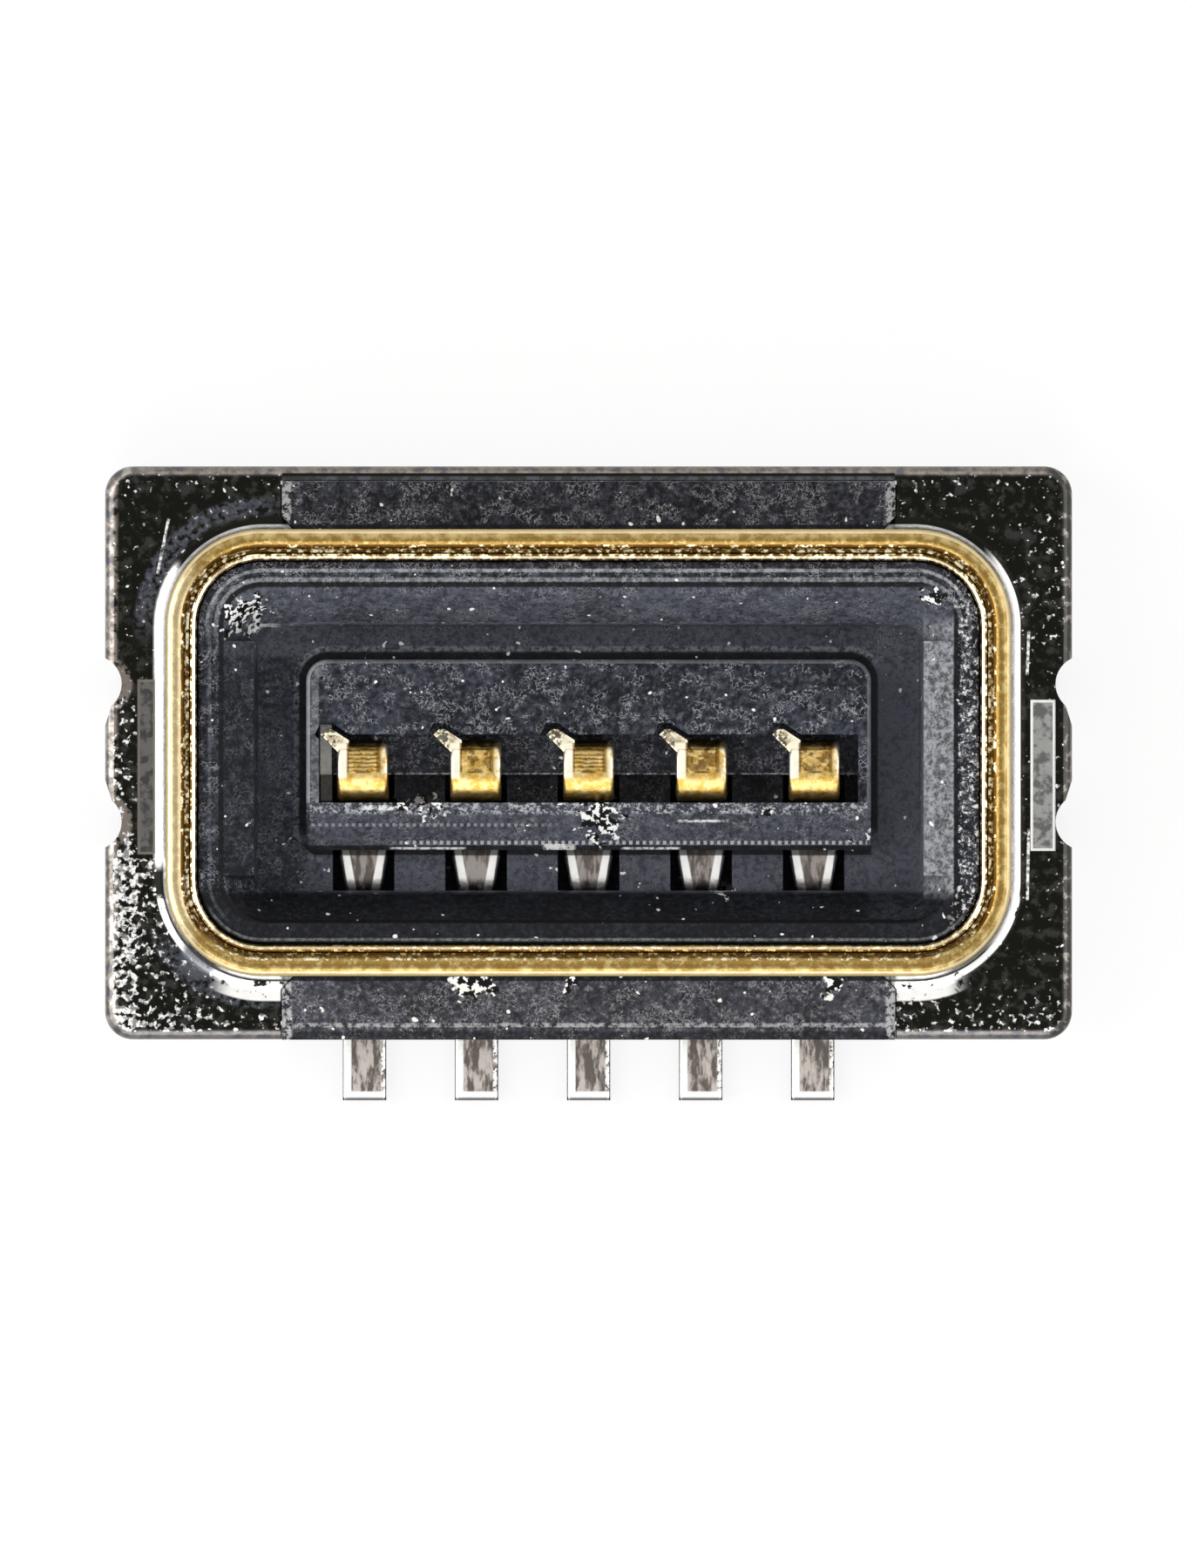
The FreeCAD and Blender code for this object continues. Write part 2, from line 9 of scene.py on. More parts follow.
import bpy
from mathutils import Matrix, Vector


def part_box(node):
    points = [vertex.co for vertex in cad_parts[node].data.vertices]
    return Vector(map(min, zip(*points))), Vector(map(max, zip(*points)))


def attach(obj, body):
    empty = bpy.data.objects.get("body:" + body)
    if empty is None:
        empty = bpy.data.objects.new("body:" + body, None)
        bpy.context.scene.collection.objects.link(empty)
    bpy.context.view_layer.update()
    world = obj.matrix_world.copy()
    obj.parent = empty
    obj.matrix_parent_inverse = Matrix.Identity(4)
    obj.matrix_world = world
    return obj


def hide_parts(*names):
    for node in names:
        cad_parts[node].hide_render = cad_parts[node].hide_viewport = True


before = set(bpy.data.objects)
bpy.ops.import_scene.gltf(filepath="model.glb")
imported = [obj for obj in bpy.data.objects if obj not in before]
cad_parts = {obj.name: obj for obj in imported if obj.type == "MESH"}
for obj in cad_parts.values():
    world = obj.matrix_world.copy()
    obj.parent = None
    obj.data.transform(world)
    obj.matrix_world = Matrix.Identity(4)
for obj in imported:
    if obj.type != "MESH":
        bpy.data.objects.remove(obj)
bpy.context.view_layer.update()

MM = 0.001
WHITE = (1.0, 1.0, 1.0, 1.0)
log = logging.getLogger("receptacle")

Point = tuple[float, float]
Spot = tuple[float, float, float]
Colour = tuple[float, float, float]
Track = tuple[float, float, float]


class Axis(Enum):
    """Direction a drawn outline is extruded in."""

    X = 0
    Y = 1
    Z = 2


class Kind(Enum):
    """What is picked in edit mode."""

    SPOT = "VERT"
    EDGE = "EDGE"
    FACE = "FACE"


class Operation(Enum):
    """What a boolean does with its second piece."""

    CUT = "DIFFERENCE"
    JOIN = "UNION"
    KEEP = "INTERSECT"


@dataclass(frozen=True)
class Socket:
    """A shader value that can be added, subtracted and multiplied with plain operators."""

    graph: "Graph"
    link: bpy.types.NodeSocket

    def _maths(self, operation: str, first: object, second: object) -> "Socket":
        """Add one Math node.

        Args:
            operation: The node's operation.
            first: Its first value or socket.
            second: Its second value or socket.

        Returns:
            The node's result.
        """
        return self.graph.node(
            "ShaderNodeMath", {"operation": operation}, {0: first, 1: second})["Value"]

    def __add__(self, other: object) -> "Socket":
        """Sum."""
        return self._maths("ADD", self, other)

    def __radd__(self, other: object) -> "Socket":
        """Sum with a number on the left."""
        return self._maths("ADD", other, self)

    def __sub__(self, other: object) -> "Socket":
        """Difference."""
        return self._maths("SUBTRACT", self, other)

    def __rsub__(self, other: object) -> "Socket":
        """Difference from a number on the left."""
        return self._maths("SUBTRACT", other, self)

    def __mul__(self, other: object) -> "Socket":
        """Product."""
        return self._maths("MULTIPLY", self, other)

    def __rmul__(self, other: object) -> "Socket":
        """Product with a number on the left."""
        return self._maths("MULTIPLY", other, self)

    def __abs__(self) -> "Socket":
        """Size without sign."""
        return self._maths("ABSOLUTE", self, 0.0)

    def at_least(self, low: object) -> "Socket":
        """This, or low where low is greater."""
        return self._maths("MAXIMUM", self, low)

    def root(self) -> "Socket":
        """Square root."""
        return self._maths("SQRT", self, 0.0)

    def sine(self) -> "Socket":
        """Sine."""
        return self._maths("SINE", self, 0.0)

    def remainder(self, span: float) -> "Socket":
        """What is left after whole spans, never negative."""
        return self._maths("FLOORED_MODULO", self, span)


class Outputs:
    """Outputs of one node, wrapped by name."""

    def __init__(self, graph: "Graph", node: bpy.types.Node) -> None:
        """Keep the node.

        Args:
            graph: The graph it is in.
            node: The node.
        """
        self.graph = graph
        self.made = node

    def __getitem__(self, name: str) -> Socket:
        """Output of that name that is in use, since some nodes hold one name for several types."""
        socket = next(s for s in self.made.outputs if s.name == name and s.enabled)
        return Socket(self.graph, socket)


class Graph:
    """Node tree of one material or of the world."""

    def __init__(self, tree: bpy.types.NodeTree) -> None:
        """Start empty.

        Args:
            tree: The tree to fill.
        """
        self.tree = tree
        tree.nodes.clear()

    def node(self, kind: str, settings: dict[str, object], values: dict[object, object]) -> Outputs:
        """Add one node.

        Args:
            kind: The node's type.
            settings: Its properties.
            values: Its input values or links, by name or number.

        Returns:
            The node's outputs.
        """
        made = self.tree.nodes.new(kind)
        for name, value in settings.items():
            setattr(made, name, value)
        for name, value in values.items():
            self._feed(self._input(made, name), value)
        return Outputs(self, made)

    def _input(self, made: bpy.types.Node, name: object) -> bpy.types.NodeSocket:
        """Input of a node that is in use, by name or number.

        Args:
            made: The node.
            name: The input's name or number.

        Returns:
            The input.
        """
        if isinstance(name, int):
            return made.inputs[name]
        return next(s for s in made.inputs if s.name == name and s.enabled)

    def _feed(self, target: bpy.types.NodeSocket, value: object) -> None:
        """Link a socket, or set its value.

        Args:
            target: The input.
            value: A socket or a plain value.
        """
        if isinstance(value, Socket):
            self.tree.links.new(value.link, target)
        else:
            target.default_value = value

    def millimetres(self) -> tuple[Socket, Outputs]:
        """Object coordinates in millimetres.

        Returns:
            The point and its separate X, Y and Z.
        """
        place = self.node("ShaderNodeTexCoord", {}, {})["Object"]
        scaled = self.node(
            "ShaderNodeVectorMath", {"operation": "SCALE"},
            {"Vector": place, "Scale": 1.0 / MM})["Vector"]
        return scaled, self.node("ShaderNodeSeparateXYZ", {}, {"Vector": scaled})

    def noise(
        self, point: Socket, scale: float, detail: float = 2.0, roughness: float = 0.5
    ) -> Socket:
        """Noise value at a point.

        Args:
            point: Where it is read.
            scale: Features in a millimetre.
            detail: Octaves.
            roughness: Share of each finer octave.

        Returns:
            A value about 0.5.
        """
        values = {"Vector": point, "Scale": scale, "Detail": detail, "Roughness": roughness}
        return self.node("ShaderNodeTexNoise", {"noise_dimensions": "3D"}, values)["Fac"]

    def step(self, value: Socket, low: float, high: float) -> Socket:
        """Smooth rise from 0 at low to 1 at high.

        Args:
            value: What is compared.
            low: Where it starts.
            high: Where it ends.

        Returns:
            A value from 0 to 1.
        """
        values = {"Value": value, "From Min": low, "From Max": high}
        settings = {"interpolation_type": "SMOOTHSTEP"}
        return self.node("ShaderNodeMapRange", settings, values)["Result"]

    def band(self, value: Socket, middle: float, half: float, soft: float) -> Socket:
        """One within half of middle, falling to zero over soft.

        Args:
            value: What is compared.
            middle: Centre of the band.
            half: Half its width.
            soft: Width of each soft edge.

        Returns:
            A value from 0 to 1.
        """
        return self.step(abs(value - middle), half + soft, half)

    def length(self, along: Socket, across: Socket) -> Socket:
        """Length of the way with these two runs at a right angle."""
        return (along * along + across * across).root()

    def disc(self, along: Socket, across: Socket, reach: float, core: float) -> Socket:
        """Round patch about the place that two distances are counted from.

        Args:
            along: Distance along one axis.
            across: Distance along the other.
            reach: Radius where it ends.
            core: Radius where it is whole.

        Returns:
            A value from 0 to 1.
        """
        return self.step(self.length(along, across), reach, core)

    def race_track(self, parts: Outputs, track: Track, middle: float = 0.0) -> Socket:
        """Distance outside a rectangle with round corners.

        Args:
            parts: Separate X, Y and Z.
            track: Half the straight run along X and along Y, and the corner radius.
            middle: Y of its middle.

        Returns:
            Millimetres outside the outline, negative inside.
        """
        along = (abs(parts["X"]) - track[0]).at_least(0.0)
        across = (abs(parts["Y"] - middle) - track[1]).at_least(0.0)
        return self.length(along, across) - track[2]

    def mix(self, factor: object, first: object, second: object) -> Socket:
        """Blend two colours.

        Args:
            factor: 0 for the first, 1 for the second.
            first: A colour or socket.
            second: A colour or socket.

        Returns:
            The blended colour.
        """
        values = {"Factor": factor, "A": self._colour(first), "B": self._colour(second)}
        return self.node(
            "ShaderNodeMix", {"data_type": "RGBA", "clamp_factor": True}, values)["Result"]

    def _colour(self, value: object) -> object:
        """A colour with its alpha, or the socket as it is."""
        return value if isinstance(value, Socket) else (*value, 1.0)

    def bump(self, height: Socket, depth: float, strength: float = 1.0) -> Socket:
        """Normal bent by a height.

        Args:
            height: 0 to 1.
            depth: Height of 1, in millimetres.
            strength: How much of it counts.

        Returns:
            The normal.
        """
        values = {"Height": height, "Distance": depth * MM, "Strength": strength}
        return self.node("ShaderNodeBump", {}, values)["Normal"]

    def surface(self, values: dict[object, object]) -> Socket:
        """Principled shader.

        Args:
            values: Its inputs.

        Returns:
            The shader.
        """
        return self.node("ShaderNodeBsdfPrincipled", {}, values)["BSDF"]

    def output(self, shader: Socket) -> None:
        """Send a shader to the material's output."""
        self.node("ShaderNodeOutputMaterial", {}, {"Surface": shader})


def new_material(name: str) -> tuple[bpy.types.Material, Graph]:
    """Make an empty material.

    Args:
        name: Its name.

    Returns:
        The material and its graph.
    """
    material = bpy.data.materials.new(name)
    material.use_nodes = True
    return material, Graph(material.node_tree)


@dataclass(frozen=True)
class MouldedPlastic:
    """Matte blue-black moulding compound with specks of grey glass fibre, painted shade, painted
    shadow lines and painted highlights on its edges.

    The numbers in its masks are places and widths in millimetres on the part, or levels of noise.
    A scuff is X, Y and radius. A nick is X, Y, half its length and half its width.
    """

    name: str = "moulded_plastic"
    # deep is the compound's dark tone, and also the colour of its painted shade.
    deep: Colour = (0.0045, 0.0048, 0.006)
    body: Colour = (0.048, 0.052, 0.070)
    fibre: Colour = (0.36, 0.365, 0.39)
    # pale is the grey of painted light.
    pale: Colour = (0.115, 0.12, 0.15)
    # The grey of painted highlights on edges and on the right-hand ramp.
    lighter_edge: Colour = (0.42, 0.43, 0.45)
    # chalky colours specks, nicks and scuffs, and paints a highlight on the channel's left end
    # wall.
    chalky: Colour = (0.88, 0.88, 0.87)
    # black paints shadow lines, and is the dark of the scuffs' specks.
    black: Colour = (0.002, 0.002, 0.0025)
    specular: float = 0.11
    ledge_top: float = 0.64
    island: Track = (0.925, 0.2625, 0.075)
    island_middle: float = -0.0075
    rim: Track = (1.155, 0.45, 0.34)
    shift: float = -0.02
    scuffs: tuple[tuple[float, float, float], ...] = (
        (-1.240, 0.465, 0.048), (-1.200, 0.520, 0.036), (0.045, -0.235, 0.070),
        (-0.42, -0.83, 0.05), (-0.37, -0.82, 0.03), (0.88, -0.82, 0.035),
        (-0.05, -0.80, 0.025), (1.215, 0.545, 0.02), (-0.56, -0.20, 0.035),
        (-0.67, -0.196, 0.020), (0.955, -0.29, 0.022), (0.475, -0.487, 0.018),
        (0.64, -0.215, 0.014),
    )
    nicks: tuple[tuple[float, float, float, float], ...] = (
        (-0.57, -0.3390, 0.120, 0.0025), (0.22, -0.3390, 0.090, 0.0025),
        (-0.105, -0.334, 0.044, 0.009), (0.405, -0.242, 0.075, 0.003),
        (-0.745, -0.195, 0.045, 0.007), (-1.155, 0.452, 0.045, 0.004),
    )

    def material(self) -> bpy.types.Material:
        """Build the material.

        Returns:
            The material.
        """
        material, graph = new_material(self.name)
        point, parts = graph.millimetres()
        cloud = graph.noise(point, 5.0, 3.0)
        grain = graph.noise(point, 44.0, 4.0, 0.8)
        mottle = graph.noise(point, 58.0, 2.0, 0.6)
        tone = graph.step(cloud * 0.2 + grain * 0.8, 0.40, 0.62)
        base = graph.mix(tone, self.deep, self.body)
        worms = graph.step(abs(mottle - 0.52), 0.034, 0.010)
        worms = worms * graph.step(graph.noise(point, 17.0), 0.46, 0.58)
        # Fibre flecks are denser on the front shoulder, which partly paints light onto it.
        front = graph.step(parts["Y"], -0.78, -0.80)
        worms = worms + graph.step(grain, 0.57, 0.66) * (0.20 + front * 0.65)
        # Painted shade on the front wall and ledge, the left ramp and the channel floor; it also
        # thins the fibre flecks there.
        shade = self._shade(graph, parts)
        colour = graph.mix(worms * (0.75 - shade * 0.7), base, self.fibre)
        # Painted light on the well's floors, the right-hand ramp, the bridge, the gaps between legs
        # and the front shoulder.
        colour = graph.mix(self._light(graph, parts) * (0.45 + tone * 0.75), colour, self.pale)
        colour = graph.mix(shade * (1.0 - tone * 0.25), colour, self.deep)
        # Painted shadow lines at the well's mouth, round the island, at its foot, beside the rim
        # and at the front lip.
        colour = graph.mix(self._painted_shadow_lines(graph, parts), colour, self.black)
        # Painted highlights on edges and ramps.
        colour = graph.mix(self._painted_edge_highlights(graph, parts, grain), colour, self.lighter_edge)
        # Painted highlight on the chamfer of the channel's left end wall.
        strip = graph.band(parts["X"], -0.932, 0.018, 0.004)
        strip = strip * graph.band(parts["Y"], -0.035, 0.130, 0.01)
        strip = strip * graph.step(parts["Z"], 0.535, 0.525)
        strip = strip * (0.85 + graph.step(grain, 0.45, 0.55) * 0.15)
        colour = graph.mix(strip, colour, self.chalky)
        colour = graph.mix(self._nicked(graph, parts, grain), colour, self.chalky)
        colour = self._scuffed(graph, point, parts, colour)
        normal = graph.bump(grain * 0.7 + mottle * 0.3, 0.008, 0.8)
        graph.output(graph.surface({
            "Base Color": colour, "Roughness": 0.38 + grain * 0.30, "Normal": normal,
            "Specular IOR Level": self.specular}))
        return material

    def _light(self, graph: Graph, parts: Outputs) -> Socket:
        """Painted light: how much greyer than the ordinary compound the well's floors, the
        right-hand ramp, the bridge, the gaps between legs and the front shoulder are.

        Args:
            graph: The graph.
            parts: Separate X, Y and Z.

        Returns:
            How much greyer a place is.
        """
        x, y, z = parts["X"], parts["Y"], parts["Z"]
        outside = graph.race_track(parts, self.rim)
        within = graph.step(outside, -0.19, -0.21)
        floor = within * graph.step(z, 0.40, 0.36) * (1.0 + graph.step(x, -0.95, -1.05) * 0.4)
        back = within * graph.step(y, 0.33, 0.36)
        right = within * graph.band(x, 1.10, 0.09, 0.03) * graph.step(y, 0.36, 0.30)
        bridge = (
            graph.band(y, -0.262, 0.082, 0.004) * graph.band(x, 0.0, 0.985, 0.01)
            * graph.step(z, 0.37, 0.40))
        gaps = (
            within * graph.step(y, -0.335, -0.345) * graph.step(z, 0.40, 0.36)
            * graph.band(x, 0.0, 0.98, 0.05))
        shoulder = graph.step(y, -0.80, -0.81)
        level = floor * 0.30 + back * 0.54 + right * 0.90
        return level + bridge * 0.50 + gaps * 0.62 + shoulder * 0.26

    def _shade(self, graph: Graph, parts: Outputs) -> Socket:
        """Painted shade: how much deeper the front wall and ledge, the left ramp and the channel
        floor are than the ordinary compound.

        Args:
            graph: The graph.
            parts: Separate X, Y and Z.

        Returns:
            How much deeper a place is.
        """
        x, y, z = parts["X"], parts["Y"], parts["Z"]
        outside = graph.race_track(parts, self.rim)
        within = graph.step(outside, -0.10, -0.12)
        front = within * graph.step(y, -0.488, -0.505)
        left = within * graph.band(x, -1.245, 0.035, 0.05) * graph.band(y, self.shift, 0.41, 0.04)
        channel = (
            graph.band(y, -0.02, 0.155, 0.004) * graph.band(x, 0.0, 0.955, 0.004)
            * graph.step(z, 0.46, 0.43))
        return front * 0.90 + left * 0.50 + channel * 0.20

    def _painted_shadow_lines(self, graph: Graph, parts: Outputs) -> Socket:
        """Painted shadow lines: sharp dark lines where one level meets the next.

        Args:
            graph: The graph.
            parts: Separate X, Y and Z.

        Returns:
            How black a place is.
        """
        x, y, z = parts["X"], parts["Y"], parts["Z"]
        outside = graph.race_track(parts, self.rim)
        high = graph.step(z, self.ledge_top - 0.02, self.ledge_top - 0.01)
        mouth = graph.band(outside, -0.196, 0.006, 0.006) * high * graph.step(x, 1.25, 1.15)
        right = graph.band(x, 1.303, 0.008, 0.006) * high * graph.band(y, self.shift, 0.52, 0.04)
        around = graph.race_track(parts, self.island, self.island_middle)
        island = graph.band(around, 0.014, 0.010, 0.008) * graph.step(y, -0.30, -0.26)
        foot = graph.band(y, -0.346, 0.015, 0.004) * graph.band(x, 0.0, 1.0, 0.01)
        beside = graph.band(outside, 0.010, 0.009, 0.004)
        lip = graph.step(y, -0.985, -0.995)
        return (mouth + right + island + foot + beside) * 0.85 + lip * 0.6

    def _painted_edge_highlights(self, graph: Graph, parts: Outputs, grain: Socket) -> Socket:
        """Painted highlights on the edges and ramps.

        Args:
            graph: The graph.
            parts: Separate X, Y and Z.
            grain: Noise that breaks the lines.

        Returns:
            How much painted highlight a place has.
        """
        x, y = parts["X"], parts["Y"]
        broken = graph.step(grain, 0.42, 0.58)
        ends = graph.band(abs(x), 1.074, 0.012, 0.012) * graph.step(abs(y), 0.80, 0.82)
        ends = ends * graph.step(grain, 0.47, 0.52)
        lip = graph.band(y, -0.968, 0.005, 0.005) * broken * 0.85
        inner = self._ledge_highlights(graph, parts, grain) + self._island_highlights(graph, parts, grain)
        return inner + ends + lip

    def _ledge_highlights(self, graph: Graph, parts: Outputs, grain: Socket) -> Socket:
        """Painted highlights: light lines on the ledge and a painted sheen on the right-hand ramp.

        Args:
            graph: The graph.
            parts: Separate X, Y and Z.
            grain: Noise that breaks the lines.

        Returns:
            How much painted highlight a place has.
        """
        x, y, z = parts["X"], parts["Y"], parts["Z"]
        high = graph.step(z, self.ledge_top - 0.012, self.ledge_top - 0.004)
        outside = graph.race_track(parts, self.rim)
        broken = graph.step(grain, 0.42, 0.58)
        back, front = graph.step(y, 0.35, 0.55), graph.step(y, -0.52, -0.60)
        lines = graph.band(outside, -0.146, 0.004, 0.004) * back * 0.75
        lines = lines + graph.band(outside, -0.178, 0.005, 0.005) * back * 0.55
        lines = lines + graph.band(outside, -0.129, 0.003, 0.004) * front * 0.45
        left = graph.step(x, -1.25, -1.33)
        lines = lines + graph.band(outside, -0.155, 0.004, 0.004) * left * 0.15
        ramp = (
            graph.band(x, 1.238, 0.050, 0.004) * graph.band(y, self.shift, 0.45, 0.06)
            * graph.step(z, 0.45, 0.52))
        ramp = ramp * (0.14 + graph.step(grain, 0.40, 0.62) * 0.60)
        knee = graph.band(y, 0.457, 0.004, 0.003) * graph.band(x, -0.15, 0.95, 0.10) * broken * 0.30
        return lines * high * (0.35 + broken * 0.65) + ramp + knee

    def _island_highlights(self, graph: Graph, parts: Outputs, grain: Socket) -> Socket:
        """Painted highlights: light lines and broken glints on the edges of the island, its bridge
        and its channel, stronger on the island's left.

        Args:
            graph: The graph.
            parts: Separate X, Y and Z.
            grain: Noise that breaks the lines.

        Returns:
            How much painted highlight a place has.
        """
        x, y, z = parts["X"], parts["Y"], parts["Z"]
        broken = graph.step(grain, 0.42, 0.58)
        along = graph.band(x, 0.0, 0.985, 0.005)
        around = graph.race_track(parts, self.island, self.island_middle)
        side = graph.step(x, -0.90, -0.95)
        top = graph.step(z, 0.50, 0.53)
        edge = graph.band(around, -0.006, 0.006, 0.004) * top * (0.25 + side * 0.35)
        edge = edge + graph.band(around, -0.031, 0.011, 0.005) * top * side * (0.12 + broken * 0.18)
        outer_glint = (
            graph.band(around, 0.040, 0.006, 0.006) * (graph.step(y, 0.30, 0.34) + side * 0.7)
            * broken * 0.40)
        dots = graph.step((x * 262.0).sine(), -0.3, 0.4)
        high = graph.step(z, 0.37, 0.40)
        bridge = graph.band(y, -0.319, 0.005, 0.003) * high * dots * graph.step(x, -0.72, -0.62)
        some = graph.step(x, -0.05, -0.25) * 0.5
        faint = graph.band(y, -0.256, 0.004, 0.003) * high * dots * some
        broken_glint = graph.band(y, -0.197, 0.014, 0.012) * high * graph.step(grain, 0.53, 0.57)
        step = graph.band(y, -0.078, 0.004, 0.004) * graph.band(z, 0.41, 0.02, 0.01) * broken * 0.8
        return (bridge + faint + broken_glint) * along + edge + outer_glint + step

    def _nicked(self, graph: Graph, parts: Outputs, grain: Socket) -> Socket:
        """Short straight nicks and the specks on the right-hand ledge.

        Args:
            graph: The graph.
            parts: Separate X, Y and Z.
            grain: Noise that breaks them.

        Returns:
            How chalky a place is.
        """
        x, y, z = parts["X"], parts["Y"], parts["Z"]
        outside = graph.race_track(parts, self.rim)
        high = graph.step(z, self.ledge_top - 0.012, self.ledge_top - 0.004)
        total = graph.band(outside, -0.150, 0.035, 0.006) * graph.step(x, 1.25, 1.33) * high
        total = total * graph.step(grain, 0.54, 0.60) * 0.9
        broken = graph.step(grain, 0.42, 0.52) * 0.7 + 0.1
        for cx, cy, reach, half in self.nicks:
            total = total + graph.band(x, cx, reach, 0.02) * graph.band(y, cy, half, 0.003) * broken
        return total

    def _scuffed(self, graph: Graph, point: Socket, parts: Outputs, colour: Socket) -> Socket:
        """Small clusters of chalky specks on black and a few lone specks.

        Args:
            graph: The graph.
            point: The place in millimetres.
            parts: Separate X, Y and Z.
            colour: Colour without them.

        Returns:
            Colour with them.
        """
        fine = graph.noise(point, 42.0, 2.0, 0.6)
        ragged = graph.noise(point, 19.0, 2.0, 0.6)
        for x, y, reach in self.scuffs:
            along, across = parts["X"] - x, parts["Y"] - y
            distance = graph.length(along, across) + (ragged - 0.5) * 0.22
            near = graph.step(distance, reach + 0.008, reach - 0.004)
            speckled = graph.mix(graph.step(fine, 0.50, 0.53), self.black, self.chalky)
            colour = graph.mix(near, colour, speckled)
        lone = graph.step(graph.noise(point, 30.0, 1.0), 0.740, 0.765)
        return graph.mix(lone, colour, self.chalky)


@dataclass(frozen=True)
class ShellPlating:
    """Nickel on the drawn sheet in lit and shaded copies, with painted highlights, painted
    reflections and painted shade; gilt on the raised rim.

    The numbers in its masks are places and widths in millimetres on the part, or levels of noise.
    A coined flat is X of its middle, half its length along X, Y of its middle and half its width.
    A scratch is X, Y, slope and half its length. The notch and the slate spot are X, Y and radius.
    """

    plate_top: float = 0.30
    gilt_from: float = 0.40
    name: str = "shell_plating"
    # flat is a near-black painted dark reflection on the nickel's flats; edge is a beige copy of
    # the nickel on its bent edges.
    flat: Colour = (0.010, 0.010, 0.008)
    dust: Colour = (0.045, 0.045, 0.042)
    # slate is a bluish dark grey: painted reflection halos and painted shade on the front edge,
    # mottle on the edges, a spot, and the grey behind the back shoulder.
    slate: Colour = (0.085, 0.090, 0.108)
    edge: Colour = (0.19, 0.165, 0.142)
    fillet: Colour = (0.90, 0.89, 0.87)
    dull: Colour = (0.27, 0.265, 0.255)
    skirt: Colour = (0.66, 0.64, 0.61)
    gold: Colour = (0.24, 0.150, 0.038)
    pale_gold: Colour = (0.45, 0.33, 0.138)
    wall_gold: Colour = (0.40, 0.25, 0.055)
    pale_wall_gold: Colour = (0.66, 0.48, 0.17)
    # This gold paints highlights on the rim's crest and bead.
    highlight_gold: Colour = (1.0, 0.93, 0.68)
    # deep_gold darkens the mottle and paints shade into the groove.
    deep_gold: Colour = (0.07, 0.032, 0.005)
    # The coined flats are painted as a shaded copy at the left end and a lit copy at the right.
    coined: dict[int, Colour] = field(
        default_factory=lambda: {-1: (0.130, 0.130, 0.126), 1: (0.32, 0.32, 0.312)})
    coined_at: dict[int, tuple[float, float, float, float]] = field(default_factory=lambda: {
        -1: (1.572, 0.031, -0.05, 0.31),
        1: (1.615, 0.043, -0.08, 0.2675),
    })
    rim: Track = (1.155, 0.45, 0.34)
    scratches: tuple[tuple[float, float, float, float], ...] = (
        (-1.5125, 0.735, 0.2, 0.092), (1.562, -0.397, 0.02, 0.12), (1.562, 0.354, 0.04, 0.07),
    )
    notch: tuple[float, float, float] = (-1.72, 0.245, 0.105)
    slate_spot: tuple[float, float, float] = (-1.385, -0.735, 0.085)

    def material(self) -> bpy.types.Material:
        """Build the material.

        Returns:
            The material.
        """
        material, graph = new_material(self.name)
        point, parts = graph.millimetres()
        height = parts["Z"]
        facing = graph.node("ShaderNodeNewGeometry", {}, {})["Normal"]
        upward = graph.node("ShaderNodeSeparateXYZ", {}, {"Vector": facing})["Z"]
        wear = graph.noise(point, 24.0, 3.0, 0.6)
        fine = graph.noise(point, 64.0, 2.0)
        outside = graph.race_track(parts, self.rim)
        level = graph.step(abs(height - self.plate_top), 0.020, 0.014)
        # Flats that face up take the end plates' colours over a near-black painted dark reflection.
        flatness = level * graph.step(upward, 0.90, 0.99)
        plate = self._plate(graph, point, parts, wear, outside)
        steep = graph.step(upward, 0.72, 0.50)
        sheet = self._sheet(graph, parts, wear, outside, steep)
        nickel = self._behind(graph, parts, wear, graph.mix(flatness, sheet, plate))
        gilt = graph.step(height, self.gilt_from, self.gilt_from + 0.02)
        side = graph.mix(0.25 + wear * 0.5, self.wall_gold, self.pale_wall_gold)
        rim = self._gilding(graph, point, parts, wear, outside)
        gilding = graph.mix(steep * graph.step(outside, -0.04, -0.03), rim, side)
        colour = graph.mix(gilt, nickel, gilding)
        normal = graph.bump(wear * 0.6 + fine * 0.4, 0.004, 0.45)
        graph.output(graph.surface({
            "Base Color": colour, "Metallic": 1.0, "Roughness": 0.17 + wear * 0.20,
            "Normal": normal}))
        return material

    def _sheet(
        self, graph: Graph, parts: Outputs, wear: Socket, outside: Socket, steep: Socket
    ) -> Socket:
        """Colour of the bent sheet: beige turned-down edge with painted shade at the front and
        right, and the rim's root fillet with painted white highlights over a near-black painted
        reflection.

        Args:
            graph: The graph.
            parts: Separate X, Y and Z.
            wear: Noise that breaks the edges.
            outside: Distance outside the rim.
            steep: 1 on upright walls.

        Returns:
            The colour.
        """
        x, y = parts["X"], parts["Y"]
        lit = 0.08 + graph.step(x, -1.55, -1.66) * 0.18
        edge = graph.mix(graph.step(wear, 0.48, 0.62) * lit, self.edge, self.fillet)
        edge = graph.mix(graph.step(wear, 0.50, 0.38) * 0.85, edge, self.slate)
        # Painted shade on the front edge and on the right-hand edge.
        edge = graph.mix(graph.step(y, -0.93, -0.99) * 0.45, edge, self.slate)
        right_edge_shade = graph.step(x, 1.60, 1.67) * graph.step(wear, 0.64, 0.52) * 0.9
        edge = graph.mix(right_edge_shade, edge, self.dust)
        clean = graph.mix(wear * 0.6, self.skirt, self.edge)
        wall = steep * graph.step(parts["Z"], self.plate_top - 0.03, self.plate_top - 0.06)
        edge = graph.mix(wall, edge, clean)
